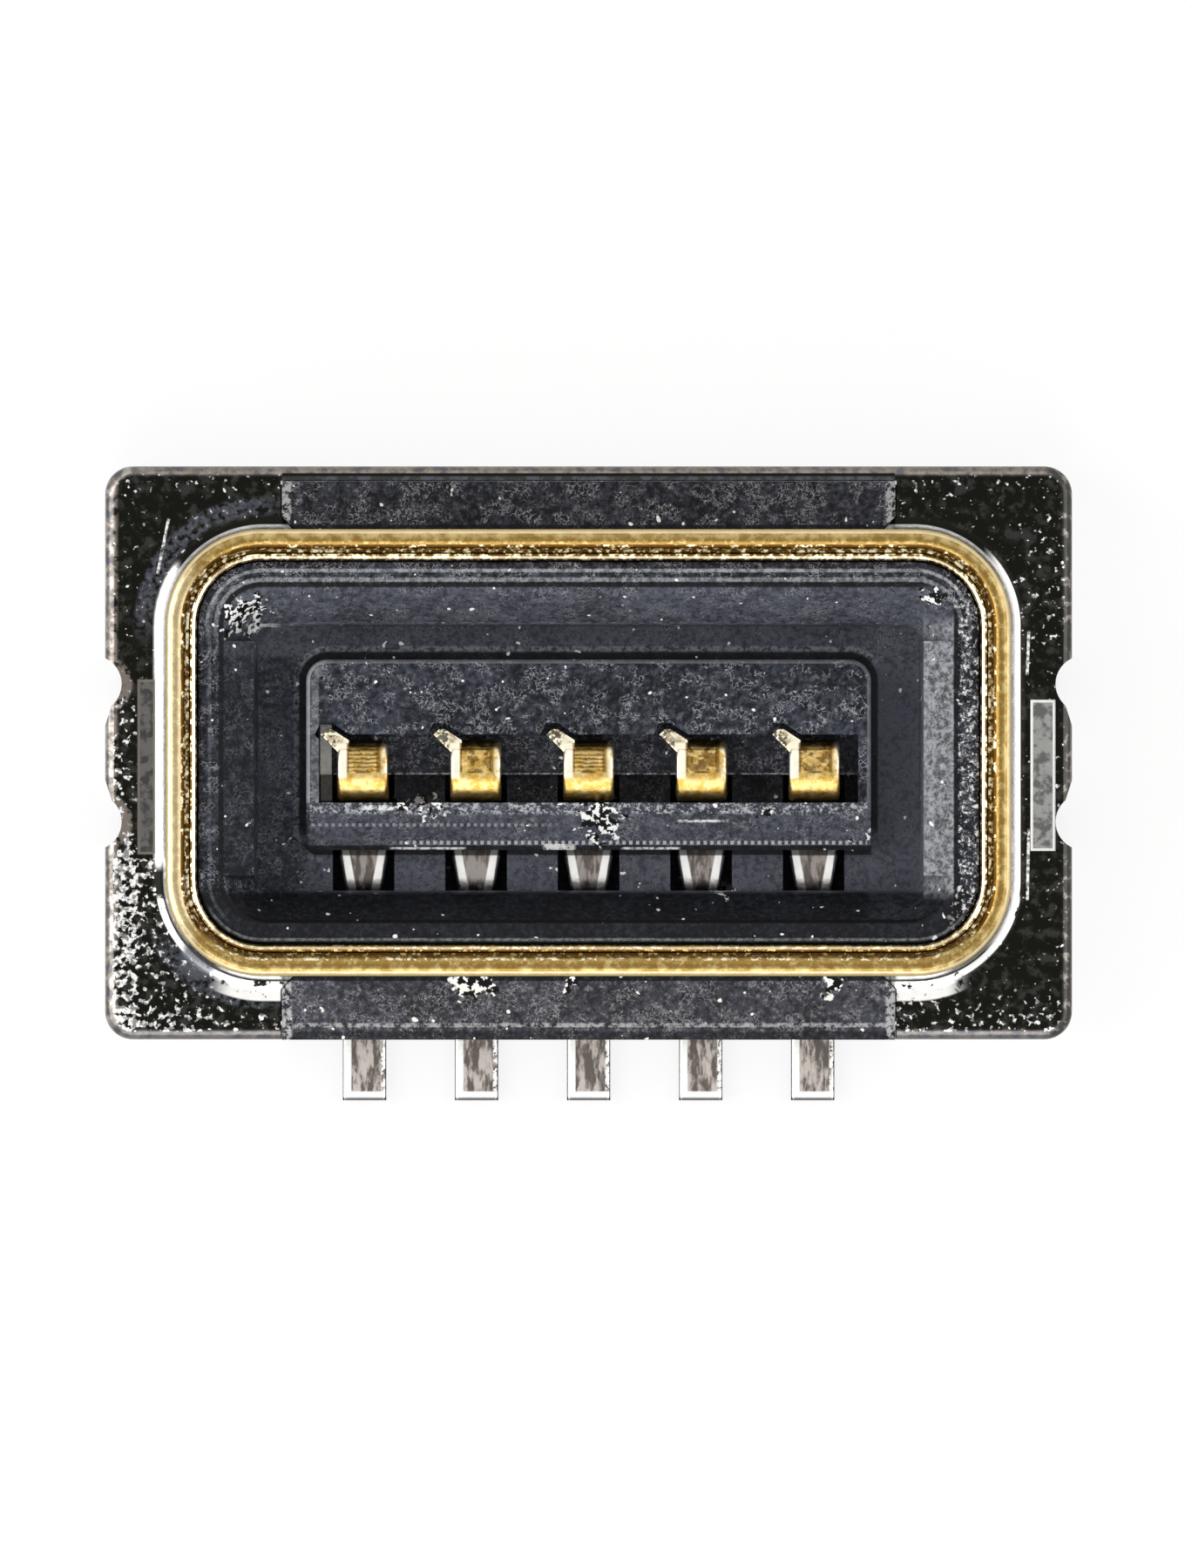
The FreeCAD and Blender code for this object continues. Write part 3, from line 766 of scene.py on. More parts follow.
        # Painted highlights on the root fillet: broad on the left, and lines at the right, the
        # front corners and the back.
        broad = graph.step(x, -1.44, -1.475) * graph.band(y, 0.135, 0.50, 0.06)
        right = graph.step(x, 1.4, 1.47) * graph.step(outside, 0.042, 0.036)
        turn = (
            graph.step(y, -0.50, -0.54) * graph.band(outside, 0.034, 0.009, 0.005)
            * graph.step(wear, 0.36, 0.44))
        fine = (
            graph.step(y, 0.42, 0.50) * graph.band(outside, 0.013, 0.007, 0.004)
            * (0.35 + wear * 0.6))
        cx, cy, reach = self.slate_spot
        spot = graph.disc(x - cx, y - cy, reach, reach * 0.6)
        root = graph.mix(broad + right + turn + fine + steep, self.flat, self.fillet)
        root = graph.mix(spot * 0.85, root, self.slate)
        return graph.mix(graph.step(outside, 0.10, 0.08), edge, root)

    def _behind(self, graph: Graph, parts: Outputs, wear: Socket, colour: Socket) -> Socket:
        """Narrow flat behind the back shoulder: a dark line, and as grey as the compound beside it.

        Args:
            graph: The graph.
            parts: Separate X, Y and Z.
            wear: Noise that mottles it.
            colour: Colour of the rest.

        Returns:
            The colour.
        """
        behind = graph.band(parts["X"], 0.0, 1.088, 0.002) * graph.step(parts["Y"], 0.90, 0.95)
        behind = behind * graph.step(parts["Y"], 0.998, 0.992) * graph.step(parts["Z"], 0.26, 0.28)
        grey = graph.mix(graph.step(wear, 0.44, 0.60), self.dust, self.slate)
        line = graph.mix(graph.step(parts["Y"], 0.986, 0.980), self.flat, grey)
        return graph.mix(behind, colour, line)

    def _plate(
        self, graph: Graph, point: Socket, parts: Outputs, wear: Socket, outside: Socket
    ) -> Socket:
        """Colour of the end plates: near-black painted reflection with specks, a slate painted
        reflection halo, painted white highlights beside the rim's lower corners, and coined flats.

        Args:
            graph: The graph.
            point: The place in millimetres.
            parts: Separate X, Y and Z.
            wear: Noise that mottles it.
            outside: Distance outside the rim.

        Returns:
            The colour.
        """
        x, y = parts["X"], parts["Y"]
        crowd = self._crowding(graph, x, y, point)
        speck = graph.noise(point, 40.0, 2.0, 0.55)
        specks = graph.step(speck + crowd, 0.675, 0.750)
        # Painted reflection: a slate halo beyond the rim's left-hand corners.
        corner = graph.step(y, 0.35, 0.55) + graph.step(y, -0.60, -0.72)
        corner = graph.step(x, -1.0, -1.25) * corner
        streak = graph.band(outside, 0.088, 0.022, 0.020) * corner * graph.step(speck, 0.40, 0.56)
        base = graph.mix(graph.step(wear, 0.48, 0.66) * 0.7, self.flat, self.dust)
        base = graph.mix(streak * 0.9, base, self.slate)
        # Painted highlight on the flat beside the rim's lower corners.
        white = graph.band(outside, 0.060, 0.028, 0.008) * graph.step(abs(x), 1.36, 1.26)
        white = white * graph.step(y, -0.70, -0.74) * graph.step(abs(x), 1.0, 1.08)
        base = graph.mix(white * graph.step(wear, 0.34, 0.44), base, self.fillet)
        cx, cy, reach = self.slate_spot
        base = graph.mix(graph.disc(x - cx, y - cy, reach, reach * 0.6), base, self.slate)
        cx, cy, reach = self.notch
        lighter_edge = graph.disc(x - cx, abs(y) - cy, reach, reach - 0.015)
        lighter_edge = lighter_edge * graph.step(wear, 0.36, 0.48)
        side = graph.step(x, -1.668, -1.684) * graph.step(wear, 0.40, 0.52)
        base = graph.mix(lighter_edge + side, base, self.edge)
        # Coined flats, painted as lit and shaded copies: darker with a beige outline at the left,
        # lighter with a white outline at the right.
        for end, colour in self.coined.items():
            middle, half, shift, reach = self.coined_at[end]
            place = graph.band(x, end * middle, half, 0.002) * graph.band(y, shift, reach, 0.002)
            inside = graph.band(x, end * middle, half - 0.009, 0.002)
            inside = inside * graph.band(y, shift, reach - 0.009, 0.002)
            outline = self.edge if end < 0 else self.fillet
            pressed = graph.mix(graph.step(wear, 0.56, 0.40) * 0.6, colour, self.flat)
            base = graph.mix(place, base, graph.mix(inside, outline, pressed))
            specks = specks * (1.0 - place * 0.9)
        for cx, cy, slope, reach in self.scratches:
            line = graph.band(x - (y - cy) * slope, cx, 0.0035, 0.003)
            line = line * graph.band(y, cy, reach, 0.01)
            specks = specks + line * graph.step(wear, 0.34, 0.44)
        shine = graph.step(graph.noise(point, 78.0, 1.0), 0.40, 0.56)
        return graph.mix(specks, base, graph.mix(shine, self.dull, self.fillet))

    def _crowding(self, graph: Graph, x: Socket, y: Socket, point: Socket) -> Socket:
        """How much more often specks come at a place.

        Args:
            graph: The graph.
            x: X in millimetres.
            y: Y in millimetres.
            point: The place in millimetres.

        Returns:
            What is added to the noise that makes the specks.
        """
        left_low = graph.step(x, -1.44, -1.56) * graph.band(y, -0.52, 0.16, 0.10) * 0.84
        lower_left = graph.step(x, -1.25, -1.45) * graph.step(y, -0.68, -0.76) * 0.62
        left_mid = graph.step(x, -1.58, -1.64) * graph.step(y, 0.30, 0.20) * 0.72
        lower = graph.step(y, -0.86, -0.94) * 0.40
        right_high = graph.step(x, 1.46, 1.58) * graph.band(y, 0.60, 0.14, 0.18) * 0.32
        right_edge = graph.step(x, 1.56, 1.64) * 0.10
        top_edge = graph.step(y, 0.90, 0.95) * graph.step(abs(x), 1.08, 1.10) * 0.22
        low_right = graph.step(x, 0.9, 1.1) * graph.step(y, -0.80, -0.88) * 0.25
        left = left_low + lower_left + left_mid
        right = right_high + right_edge + low_right
        return (left + lower + right + top_edge) * 0.130 + graph.noise(point, 4.0) * 0.06

    def _gilding(
        self, graph: Graph, point: Socket, parts: Outputs, wear: Socket, outside: Socket
    ) -> Socket:
        """Colour of the gilt rim: outer band with a painted highlight on its edge and a painted
        dark reflection along its flat, mottled inner half, painted shade in the groove, and a
        painted highlight on the inner bead.

        Args:
            graph: The graph.
            point: The place in millimetres.
            parts: Separate X, Y and Z.
            wear: Noise that mottles it.
            outside: Distance outside the rim.

        Returns:
            The colour.
        """
        spots = graph.noise(point, 50.0, 2.0, 0.6)
        band = graph.mix(graph.step(wear, 0.36, 0.66), self.gold, self.pale_gold)
        # Painted highlight along the crest's outer edge.
        band = graph.mix(graph.band(outside, -0.010, 0.002, 0.006) * 0.55, band, self.highlight_gold)
        # Painted dark reflection: a darker band along the crest's flat top.
        line = graph.band(outside, -0.046, 0.007, 0.008) * graph.step(spots, 0.42, 0.54)
        band = graph.mix(line, band, self.gold)
        # Painted light on the rim's left-hand end.
        band = graph.mix(graph.step(parts["X"], -1.36, -1.44) * 0.22, band, self.highlight_gold)
        front = graph.step(parts["Y"], -0.60, -0.68)
        inner = graph.step(outside, -0.052, -0.060)
        mottle = graph.step(spots, 0.53, 0.47) * inner * (1.0 - front * 0.8)
        # Painted shade in the groove, and at the front in a line further in.
        groove = graph.band(outside, -0.061, 0.004, 0.005) * graph.step(wear, 0.40, 0.52)
        fine = graph.band(outside, -0.084, 0.009, 0.005) * front * graph.step(spots, 0.38, 0.46)
        groove = groove * (1.0 - front) + fine
        # Painted highlight specks on the inner half.
        band = graph.mix(inner * graph.step(spots, 0.53, 0.60) * 0.65, band, self.highlight_gold)
        band = graph.mix(graph.step(mottle * 0.9 + groove, 0.0, 1.0), band, self.deep_gold)
        # Painted highlight on the inner bead, stronger at the ends.
        ends = graph.step(abs(parts["X"]), 1.3, 1.36)
        bead = graph.band(outside, -0.100, 0.003, 0.004) * (ends * 0.55 + 0.25)
        return graph.mix(bead, band, self.highlight_gold)


@dataclass(frozen=True)
class ContactPlating:
    """Gold on the bent tip with painted shade on its bends, bright tin on leg and tail, painted
    highlights on the edges and painted shade lines.

    The numbers in its masks are places and widths in millimetres on a contact, or levels of noise.
    """

    gilt_from: float = -0.28
    pitch: float = 0.40
    name: str = "contact_plating"
    gold: Colour = (0.44, 0.26, 0.045)
    pale_gold: Colour = (0.62, 0.47, 0.20)
    # deep_gold darkens the dish's figure and paints shade on the tip's front and back bends.
    deep_gold: Colour = (0.085, 0.038, 0.005)
    # The next two colours paint highlights on the edges: white on tin, cream on gold.
    glint_white: Colour = (0.93, 0.92, 0.89)
    cream: Colour = (0.86, 0.80, 0.63)
    tin: Colour = (0.52, 0.47, 0.43)
    dull_tin: Colour = (0.13, 0.11, 0.097)
    # dark paints shade lines on the tail, beyond the tip and at the leg's foot under the island.
    dark: Colour = (0.02, 0.018, 0.016)
    drawn_out: Spot = (1.0, 0.28, 1.0)
    taper: float = 0.19
    taper_start: float = 0.1556

    def material(self) -> bpy.types.Material:
        """Build the material.

        Returns:
            The material.
        """
        material, graph = new_material(self.name)
        point, parts = graph.millimetres()
        place = parts["Y"]
        wear = graph.noise(point, 34.0, 4.0, 0.75)
        fine = graph.noise(point, 72.0, 2.0)
        across = (parts["X"] + self.pitch * 10.5).remainder(self.pitch) - self.pitch / 2
        aside = abs(across)
        stripes = (place * 430.0 + wear * 9.0).sine() * 0.5 + 0.5
        dished = graph.step(aside, 0.062, 0.052) * graph.step(place, -0.070, -0.060)
        gold = graph.mix(graph.step(wear, 0.36, 0.62), self.gold, self.pale_gold)
        striped = graph.band(abs(parts["X"] + self.pitch), self.pitch, 0.12, 0.04)
        blotched = graph.step(graph.noise(point, 30.0, 2.0, 0.6), 0.54, 0.44) * 0.9
        figure = stripes * striped + blotched * (1.0 - striped)
        depth = dished * (0.08 + figure * 0.72 + graph.step(fine, 0.5, 0.6) * 0.15)
        gold = graph.mix(depth, gold, self.deep_gold)
        frame_line = graph.band(aside, 0.056, 0.005, 0.004) * graph.step(place, -0.074, -0.066)
        gold = graph.mix(frame_line * 0.65, gold, self.deep_gold)
        # Painted shade where the tip bends down at the front and at the back.
        bends = graph.step(place, -0.118, -0.165) * 0.45 + graph.step(place, 0.022, 0.040) * 0.75
        gold = graph.mix(bends, gold, self.deep_gold)
        values = {0: point, 1: self.drawn_out}
        drawn = graph.node("ShaderNodeVectorMath", {"operation": "MULTIPLY"}, values)["Vector"]
        streaks = graph.step(graph.noise(drawn, 40.0, 3.0, 0.65), 0.42, 0.60)
        tin = graph.mix(streaks, self.dull_tin, self.tin)
        tin = graph.mix(graph.step(place, -0.60, -0.50) * 0.45, tin, self.dull_tin)
        gilt = graph.step(place, self.gilt_from, self.gilt_from + 0.02)
        # Painted highlights on the edges: cream on the gold, white on the tin.
        glint_tone = graph.mix(gilt, self.glint_white, self.cream)
        edges = self._edge_glints(graph, place, across, aside, wear)
        colour = graph.mix(edges, graph.mix(gilt, tin, gold), glint_tone)
        # Painted shade lines: the tail's edge and end, beyond the tip, and the leg's foot under the
        # island.
        outline = graph.step(aside, 0.071, 0.076) * graph.step(place, -1.0, -1.03)
        outline = outline + graph.step(place, -1.226, -1.234)
        outline = outline + graph.step(aside, 0.094, 0.098) * graph.step(fine, 0.52, 0.46)
        outline = outline + graph.band(place, -0.350, 0.013, 0.004)
        colour = graph.mix(outline * 0.85, colour, self.dark)
        normal = graph.bump(wear * 0.4 + fine * 0.3 + stripes * dished * 0.3, 0.004, 0.5)
        graph.output(graph.surface({
            "Base Color": colour, "Metallic": 1.0, "Roughness": 0.22 + fine * 0.24,
            "Normal": normal}))
        return material

    def _edge_glints(
        self, graph: Graph, place: Socket, across: Socket, aside: Socket, wear: Socket
    ) -> Socket:
        """Bare sheared edges of the tail, the leg, the tip and the ear.

        Args:
            graph: The graph.
            place: Y in millimetres.
            across: X from the contact's middle.
            aside: Its size.
            wear: Noise that breaks the edges.

        Returns:
            Where the edges have painted highlight.
        """
        inwards = place * self.taper + self.taper_start - aside
        leg = graph.step(inwards, 0.040, 0.034) * graph.band(place, -0.42, 0.14, 0.02)
        tail = (
            graph.step(across, -0.044, -0.050)
            + graph.step(across, 0.056, 0.062) * graph.step(wear, 0.46, 0.52))
        tail = (tail + graph.step(place, -1.205, -1.212)) * graph.step(place, -0.95, -0.98)
        left = (
            graph.step(across, -0.052, -0.060) * graph.step(aside, 0.094, 0.090)
            * graph.step(place, 0.040, 0.030))
        right = graph.step(across, 0.066, 0.072) * (graph.step(wear, 0.44, 0.54) * 0.5 + 0.15)
        tip = (left + right) * graph.step(place, -0.096, -0.082)
        raised = (
            graph.step(aside, 0.090, 0.094)
            + graph.step(across, -0.040, -0.048) * graph.step(place, 0.030, 0.040))
        ear = graph.step(raised, 0.0, 1.0) * (0.30 + graph.step(wear, 0.42, 0.54) * 0.55)
        return leg + tail + tip + ear


@dataclass(frozen=True)
class PaleTable:
    """White table that stays white to the eye and keeps a soft shadow."""

    name: str = "pale_table"
    tone: Colour = (0.98, 0.98, 0.98)
    glow: float = 0.82
    roughness: float = 0.9
    specular: float = 0.1

    def material(self) -> bpy.types.Material:
        """Build the material.

        Returns:
            The material.
        """
        material, graph = new_material(self.name)
        path = graph.node("ShaderNodeLightPath", {}, {})
        seen = path["Is Camera Ray"] + path["Is Glossy Ray"] + path["Is Transmission Ray"]
        matte = graph.surface({
            "Base Color": (*self.tone, 1.0), "Roughness": self.roughness,
            "Specular IOR Level": self.specular})
        light = graph.node("ShaderNodeEmission", {}, {"Color": WHITE, "Strength": 1.0})["Emission"]
        both = {0: seen * self.glow, 1: matte, 2: light}
        graph.output(graph.node("ShaderNodeMixShader", {}, both)["Shader"])
        return material


@dataclass(frozen=True)
class Bench:
    """Hand tools for one piece, which is shaped in millimetres and finished in metres.

    Corners nearer to a level than near lie on it. Corners nearer than merge are one, and so are
    those of a finished piece that are nearer than sliver. Edges flatter than smooth_angle, in
    degrees, are smooth.
    """

    near: float = 0.001
    merge: float = 0.0001
    sliver: float = 0.0003
    smooth_angle: float = 32.0

    def only(self, piece: bpy.types.Object) -> None:
        """Select one piece alone and make it the active one.

        Args:
            piece: The piece.
        """
        bpy.ops.object.select_all(action="DESELECT")
        piece.select_set(True)
        bpy.context.view_layer.objects.active = piece

    def edit(self, piece: bpy.types.Object, kind: Kind = Kind.FACE) -> None:
        """Enter edit mode with all of a piece selected.

        Args:
            piece: The piece.
            kind: What is picked.
        """
        self.only(piece)
        bpy.ops.object.mode_set(mode="EDIT")
        bpy.ops.mesh.select_mode(type=kind.value)
        bpy.ops.mesh.select_all(action="SELECT")

    def close(self) -> None:
        """Turn all faces outwards and leave edit mode."""
        bpy.ops.mesh.select_all(action="SELECT")
        bpy.ops.mesh.normals_make_consistent(inside=False)
        bpy.ops.object.mode_set(mode="OBJECT")

    def pick(self, piece: bpy.types.Object, kind: Kind, wanted: Callable[[Vector], bool]) -> None:
        """Enter edit mode with those elements selected whose corners are all at wanted places.

        Args:
            piece: The piece.
            kind: Edges or faces.
            wanted: Whether a corner's place is wanted.
        """
        self.edit(piece, kind)
        bpy.ops.mesh.select_all(action="DESELECT")
        bpy.ops.object.mode_set(mode="OBJECT")
        mesh = piece.data
        inside = [wanted(vertex.co) for vertex in mesh.vertices]
        if kind is Kind.EDGE:
            chosen = [all(inside[i] for i in edge.vertices) for edge in mesh.edges]
            mesh.edges.foreach_set("select", chosen)
        else:
            chosen = [all(inside[i] for i in face.vertices) for face in mesh.polygons]
            mesh.polygons.foreach_set("select", chosen)
        bpy.ops.object.mode_set(mode="EDIT")

    def slab(
        self, name: str, size: Point, corner: float, low: float, high: float, steps: int = 12
    ) -> bpy.types.Object:
        """Plate with round corners, centred on the upright axis.

        Args:
            name: The piece's name.
            size: Length and width.
            corner: Corner radius.
            low: Height of its underside.
            high: Height of its top.
            steps: Facets of one corner.

        Returns:
            The piece.
        """
        bpy.ops.object.select_all(action="DESELECT")
        bpy.ops.mesh.primitive_plane_add(size=1.0)
        piece = bpy.context.object
        piece.name = name
        self.edit(piece)
        bpy.ops.transform.resize(value=(size[0], size[1], 1.0))
        bpy.ops.mesh.bevel(offset=corner, affect="VERTICES", segments=steps)
        bpy.ops.mesh.select_all(action="SELECT")
        bpy.ops.transform.translate(value=(0.0, 0.0, low))
        bpy.ops.mesh.extrude_region_move(TRANSFORM_OT_translate={"value": (0.0, 0.0, high - low)})
        self.close()
        return piece

    def drawn(
        self, name: str, outline: Sequence[Point], low: float, high: float, axis: Axis = Axis.Z
    ) -> bpy.types.Object:
        """Prism over a drawn outline.

        Args:
            name: The piece's name.
            outline: Corners, as (x, y) for the Z axis, (x, z) for Y and (y, z) for X.
            low: Where it starts along the axis.
            high: Where it ends.
            axis: Direction it is extruded in.

        Returns:
            The piece.
        """
        bpy.ops.object.select_all(action="DESELECT")
        bpy.ops.mesh.primitive_circle_add(vertices=len(outline), radius=1.0, fill_type="NGON")
        piece = bpy.context.object
        piece.name = name
        for vertex, corner in zip(piece.data.vertices, outline):
            place = list(corner)
            place.insert(axis.value, low)
            vertex.co = place
        run = [0.0, 0.0, 0.0]
        run[axis.value] = high - low
        self.edit(piece)
        bpy.ops.mesh.extrude_region_move(TRANSFORM_OT_translate={"value": run})
        self.close()
        return piece

    def block(self, name: str, low: Spot, high: Spot) -> bpy.types.Object:
        """Box between two corners, for a cut or a join.

        Args:
            name: The piece's name.
            low: Its lowest corner.
            high: Its highest corner.

        Returns:
            The piece.
        """
        middle = [(a + b) / 2 for a, b in zip(low, high)]
        size = [b - a for a, b in zip(low, high)]
        bpy.ops.object.select_all(action="DESELECT")
        bpy.ops.mesh.primitive_cube_add(size=1.0, location=middle, scale=size)
        bpy.ops.object.transform_apply(location=True, rotation=True, scale=True)
        bpy.context.object.name = name
        return bpy.context.object

    def rod(
        self, name: str, radius: float, foot: Spot, height: float, steps: int = 40
    ) -> bpy.types.Object:
        """Upright round rod, for a cut.

        Args:
            name: The piece's name.
            radius: Its radius.
            foot: Middle of its underside.
            height: Its height.
            steps: Facets round it.

        Returns:
            The piece.
        """
        middle = (foot[0], foot[1], foot[2] + height / 2)
        bpy.ops.object.select_all(action="DESELECT")
        bpy.ops.mesh.primitive_cylinder_add(
            vertices=steps, radius=radius, depth=height, location=middle)
        bpy.ops.object.transform_apply(location=True, rotation=True, scale=True)
        bpy.context.object.name = name
        return bpy.context.object

    def loop(self, name: str, spots: Sequence[Spot]) -> bpy.types.Object:
        """Closed wire through the given places, left selected in edit mode.

        Args:
            name: The piece's name.
            spots: The places, in order.

        Returns:
            The wire.
        """
        bpy.ops.object.select_all(action="DESELECT")
        bpy.ops.mesh.primitive_circle_add(vertices=len(spots), radius=1.0, fill_type="NOTHING")
        piece = bpy.context.object
        piece.name = name
        for vertex, spot in zip(piece.data.vertices, spots):
            vertex.co = spot
        self.edit(piece, Kind.EDGE)
        return piece

    def run(self, way: Spot) -> None:
        """Extrude the selected wire along a straight way."""
        bpy.ops.mesh.extrude_edges_move(TRANSFORM_OT_translate={"value": way})

    def turn(self, angle: float, middle: Spot, axis: Spot, steps: int) -> None:
        """Sweep the selected wire about an axis, anticlockwise for a positive angle in radians."""
        bpy.ops.mesh.spin(steps=steps, angle=-angle, center=middle, axis=axis)

    def carried(
        self, name: str, section: Sequence[Point], size: Point, corner: float, steps: int = 14
    ) -> bpy.types.Object:
        """Closed section carried once round a race-track.

        Args:
            name: The piece's name.
            section: Corners as (inset from the track, height).
            size: Length and width of the track.
            corner: Its corner radius.
            steps: Facets of one corner.

        Returns:
            The piece.
        """
        x, y = size[0] / 2 - corner, size[1] / 2 - corner
        piece = self.loop(name, [(-x, inset - corner - y, z) for inset, z in section])
        sides = [((2 * x, 0.0, 0.0), (x, -y, 0.0)), ((0.0, 2 * y, 0.0), (x, y, 0.0))]
        sides += [((-2 * x, 0.0, 0.0), (-x, y, 0.0)), ((0.0, -2 * y, 0.0), (-x, -y, 0.0))]
        for way, middle in sides:
            self.run(way)
            self.turn(math.pi / 2, middle, (0.0, 0.0, 1.0), steps)
        bpy.ops.mesh.select_all(action="SELECT")
        bpy.ops.mesh.remove_doubles(threshold=self.merge)
        self.close()
        return piece

    def combine(
        self, piece: bpy.types.Object, tool: bpy.types.Object, operation: Operation
    ) -> None:
        """Cut, join or keep with a second piece, which is used up.

        Args:
            piece: The piece that stays.
            tool: The second piece.
            operation: What is done with it.
        """
        self.only(piece)
        modifier = piece.modifiers.new("combine", "BOOLEAN")
        modifier.operation = operation.value
        modifier.solver = "EXACT"
        modifier.object = tool
        bpy.ops.object.modifier_apply(modifier=modifier.name)
        bpy.data.objects.remove(tool)

    def soften(self, width: float, steps: int) -> None:
        """Round the selected edges and leave edit mode."""
        bpy.ops.mesh.bevel(offset=width, affect="EDGES", segments=steps, clamp_overlap=True)
        self.close()

    def round_top(self, piece: bpy.types.Object, top: float, width: float, steps: int) -> None:
        """Round the edges at a piece's top.

        Args:
            piece: The piece.
            top: Height of the edges.
            width: Width of the rounding.
            steps: Facets across it.
        """
        self.pick(piece, Kind.EDGE, lambda spot: spot.z > top - self.near)
        self.soften(width, steps)

    def copy(self, piece: bpy.types.Object, name: str, way: Spot) -> bpy.types.Object:
        """Copy with its own mesh, moved along a way.

        Args:
            piece: The piece.
            name: The copy's name.
            way: How far it is moved.

        Returns:
            The copy.
        """
        made = piece.copy()
        made.data = piece.data.copy()
        made.name = name
        bpy.context.scene.collection.objects.link(made)
        self.edit(made)
        bpy.ops.transform.translate(value=way)
        bpy.ops.object.mode_set(mode="OBJECT")
        return made

    def finish(
        self, piece: bpy.types.Object, node: str, slot: str, material: bpy.types.Material
    ) -> None:
        """Bring a piece to metres, smooth and dress it, and let it stand for its CAD node.

        Args:
            piece: The piece, in millimetres.
            node: The node it replaces.
            slot: Not used.
            material: Its finish.
        """
        self.edit(piece, Kind.SPOT)
        bpy.ops.mesh.remove_doubles(threshold=self.sliver)
        bpy.ops.mesh.dissolve_degenerate(threshold=self.sliver)
        bpy.ops.object.mode_set(mode="OBJECT")
        piece.scale = (MM, MM, MM)
        bpy.ops.object.transform_apply(location=True, rotation=True, scale=True)
        bpy.ops.object.shade_smooth_by_angle(angle=math.radians(self.smooth_angle))
        piece.data.materials.clear()
        piece.data.materials.append(material)
        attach(piece, "root")
        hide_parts(node)
        log.info("%s stands for %s with %d faces", piece.name, node, len(piece.data.polygons))


def arc(middle: Point, radius: float, start: float, end: float, steps: int) -> list[Point]:
    """Points of an arc.

    Args:
        middle: Its centre.
        radius: Its radius.
        start: First angle in degrees.
        end: Last angle in degrees.
        steps: Number of facets.

    Returns:
        Points from start to end, both included.
    """
    angles = [math.radians(start + (end - start) * i / steps) for i in range(steps + 1)]
    return [(middle[0] + radius * math.cos(a), middle[1] + radius * math.sin(a)) for a in angles]


@dataclass(frozen=True)
class Plan:
    """Sizes in millimetres that the shell, the moulding and the contacts share."""

    pitch: float = 0.40
    positions: int = 5
    body: Point = (3.44, 2.04)
    body_corner: float = 0.10
    standoff: float = 0.02
    sheet: float = 0.05
    plate_top: float = 0.30
    rim: Point = (2.99, 1.58)
    rim_corner: float = 0.34
    rim_top: float = 0.70
    rim_root: float = 0.12
    hem_width: float = 0.11
    hem_foot: float = 0.55
    shoulder_length: float = 2.18
    shoulder_chamfer: float = 0.05
    gap: float = 0.005
    well_front: float = -0.49
    island_front: float = -0.345
    tip_front: float = -0.172
    tip_back: float = 0.045
    tip_width: float = 0.18
    tail_width: float = 0.155
    strip: float = 0.06
    ear_width: float = 0.042
    ear_reach: float = 0.040

    def places(self) -> list[float]:
        """X of every contact."""
        first = -(self.positions - 1) * self.pitch / 2
        return [first + i * self.pitch for i in range(self.positions)]

    def body_size(self, inset: float) -> Point:
        """Length and width of the body drawn in by inset."""
        return self.body[0] - 2 * inset, self.body[1] - 2 * inset

    def rim_size(self, inset: float) -> Point:
        """Length and width of the rim drawn in by inset."""
        return self.rim[0] - 2 * inset, self.rim[1] - 2 * inset

    def shoulder(self, side: int, gap: float, far: float) -> list[Point]:
        """Plan of a shoulder.

        Args:
            side: 1 at the back, -1 at the front.
            gap: How much longer than the shoulder it is at each end.
            far: Distance of its outer side from the middle.

        Returns:
            Its corners.
        """
        half, cut = self.shoulder_length / 2 + gap, self.shoulder_chamfer
        near, edge = self.rim[1] / 2 - self.sheet, self.rim[1] / 2
        right = [(half - cut, near), (half - cut, edge), (half, edge + cut), (half, far)]
        return [(x, side * y) for x, y in right] + [(-x, side * y) for x, y in reversed(right)]

    def ear(self, grow: float) -> list[Point]:
        """Plan of a contact's ear, grown by a clearance.

        Args:
            grow: How far its outline lies outside the ear's.

        Returns:
            Its corners.
        """
        side, width, reach = -self.tip_width / 2, self.ear_width, self.ear_reach
        root, step = side + width, width / 2
        tip_x, tip_y = side - reach, self.tip_back + reach
        return [
            (root, self.tip_back - self.strip - grow),
            (side - grow, self.tip_back - self.strip - grow),
            (side - grow, self.tip_back - width), (tip_x - step - grow, tip_y - step),
            (tip_x - grow, tip_y + grow), (tip_x + step, tip_y + grow),
            (root, self.tip_back + grow),
        ]


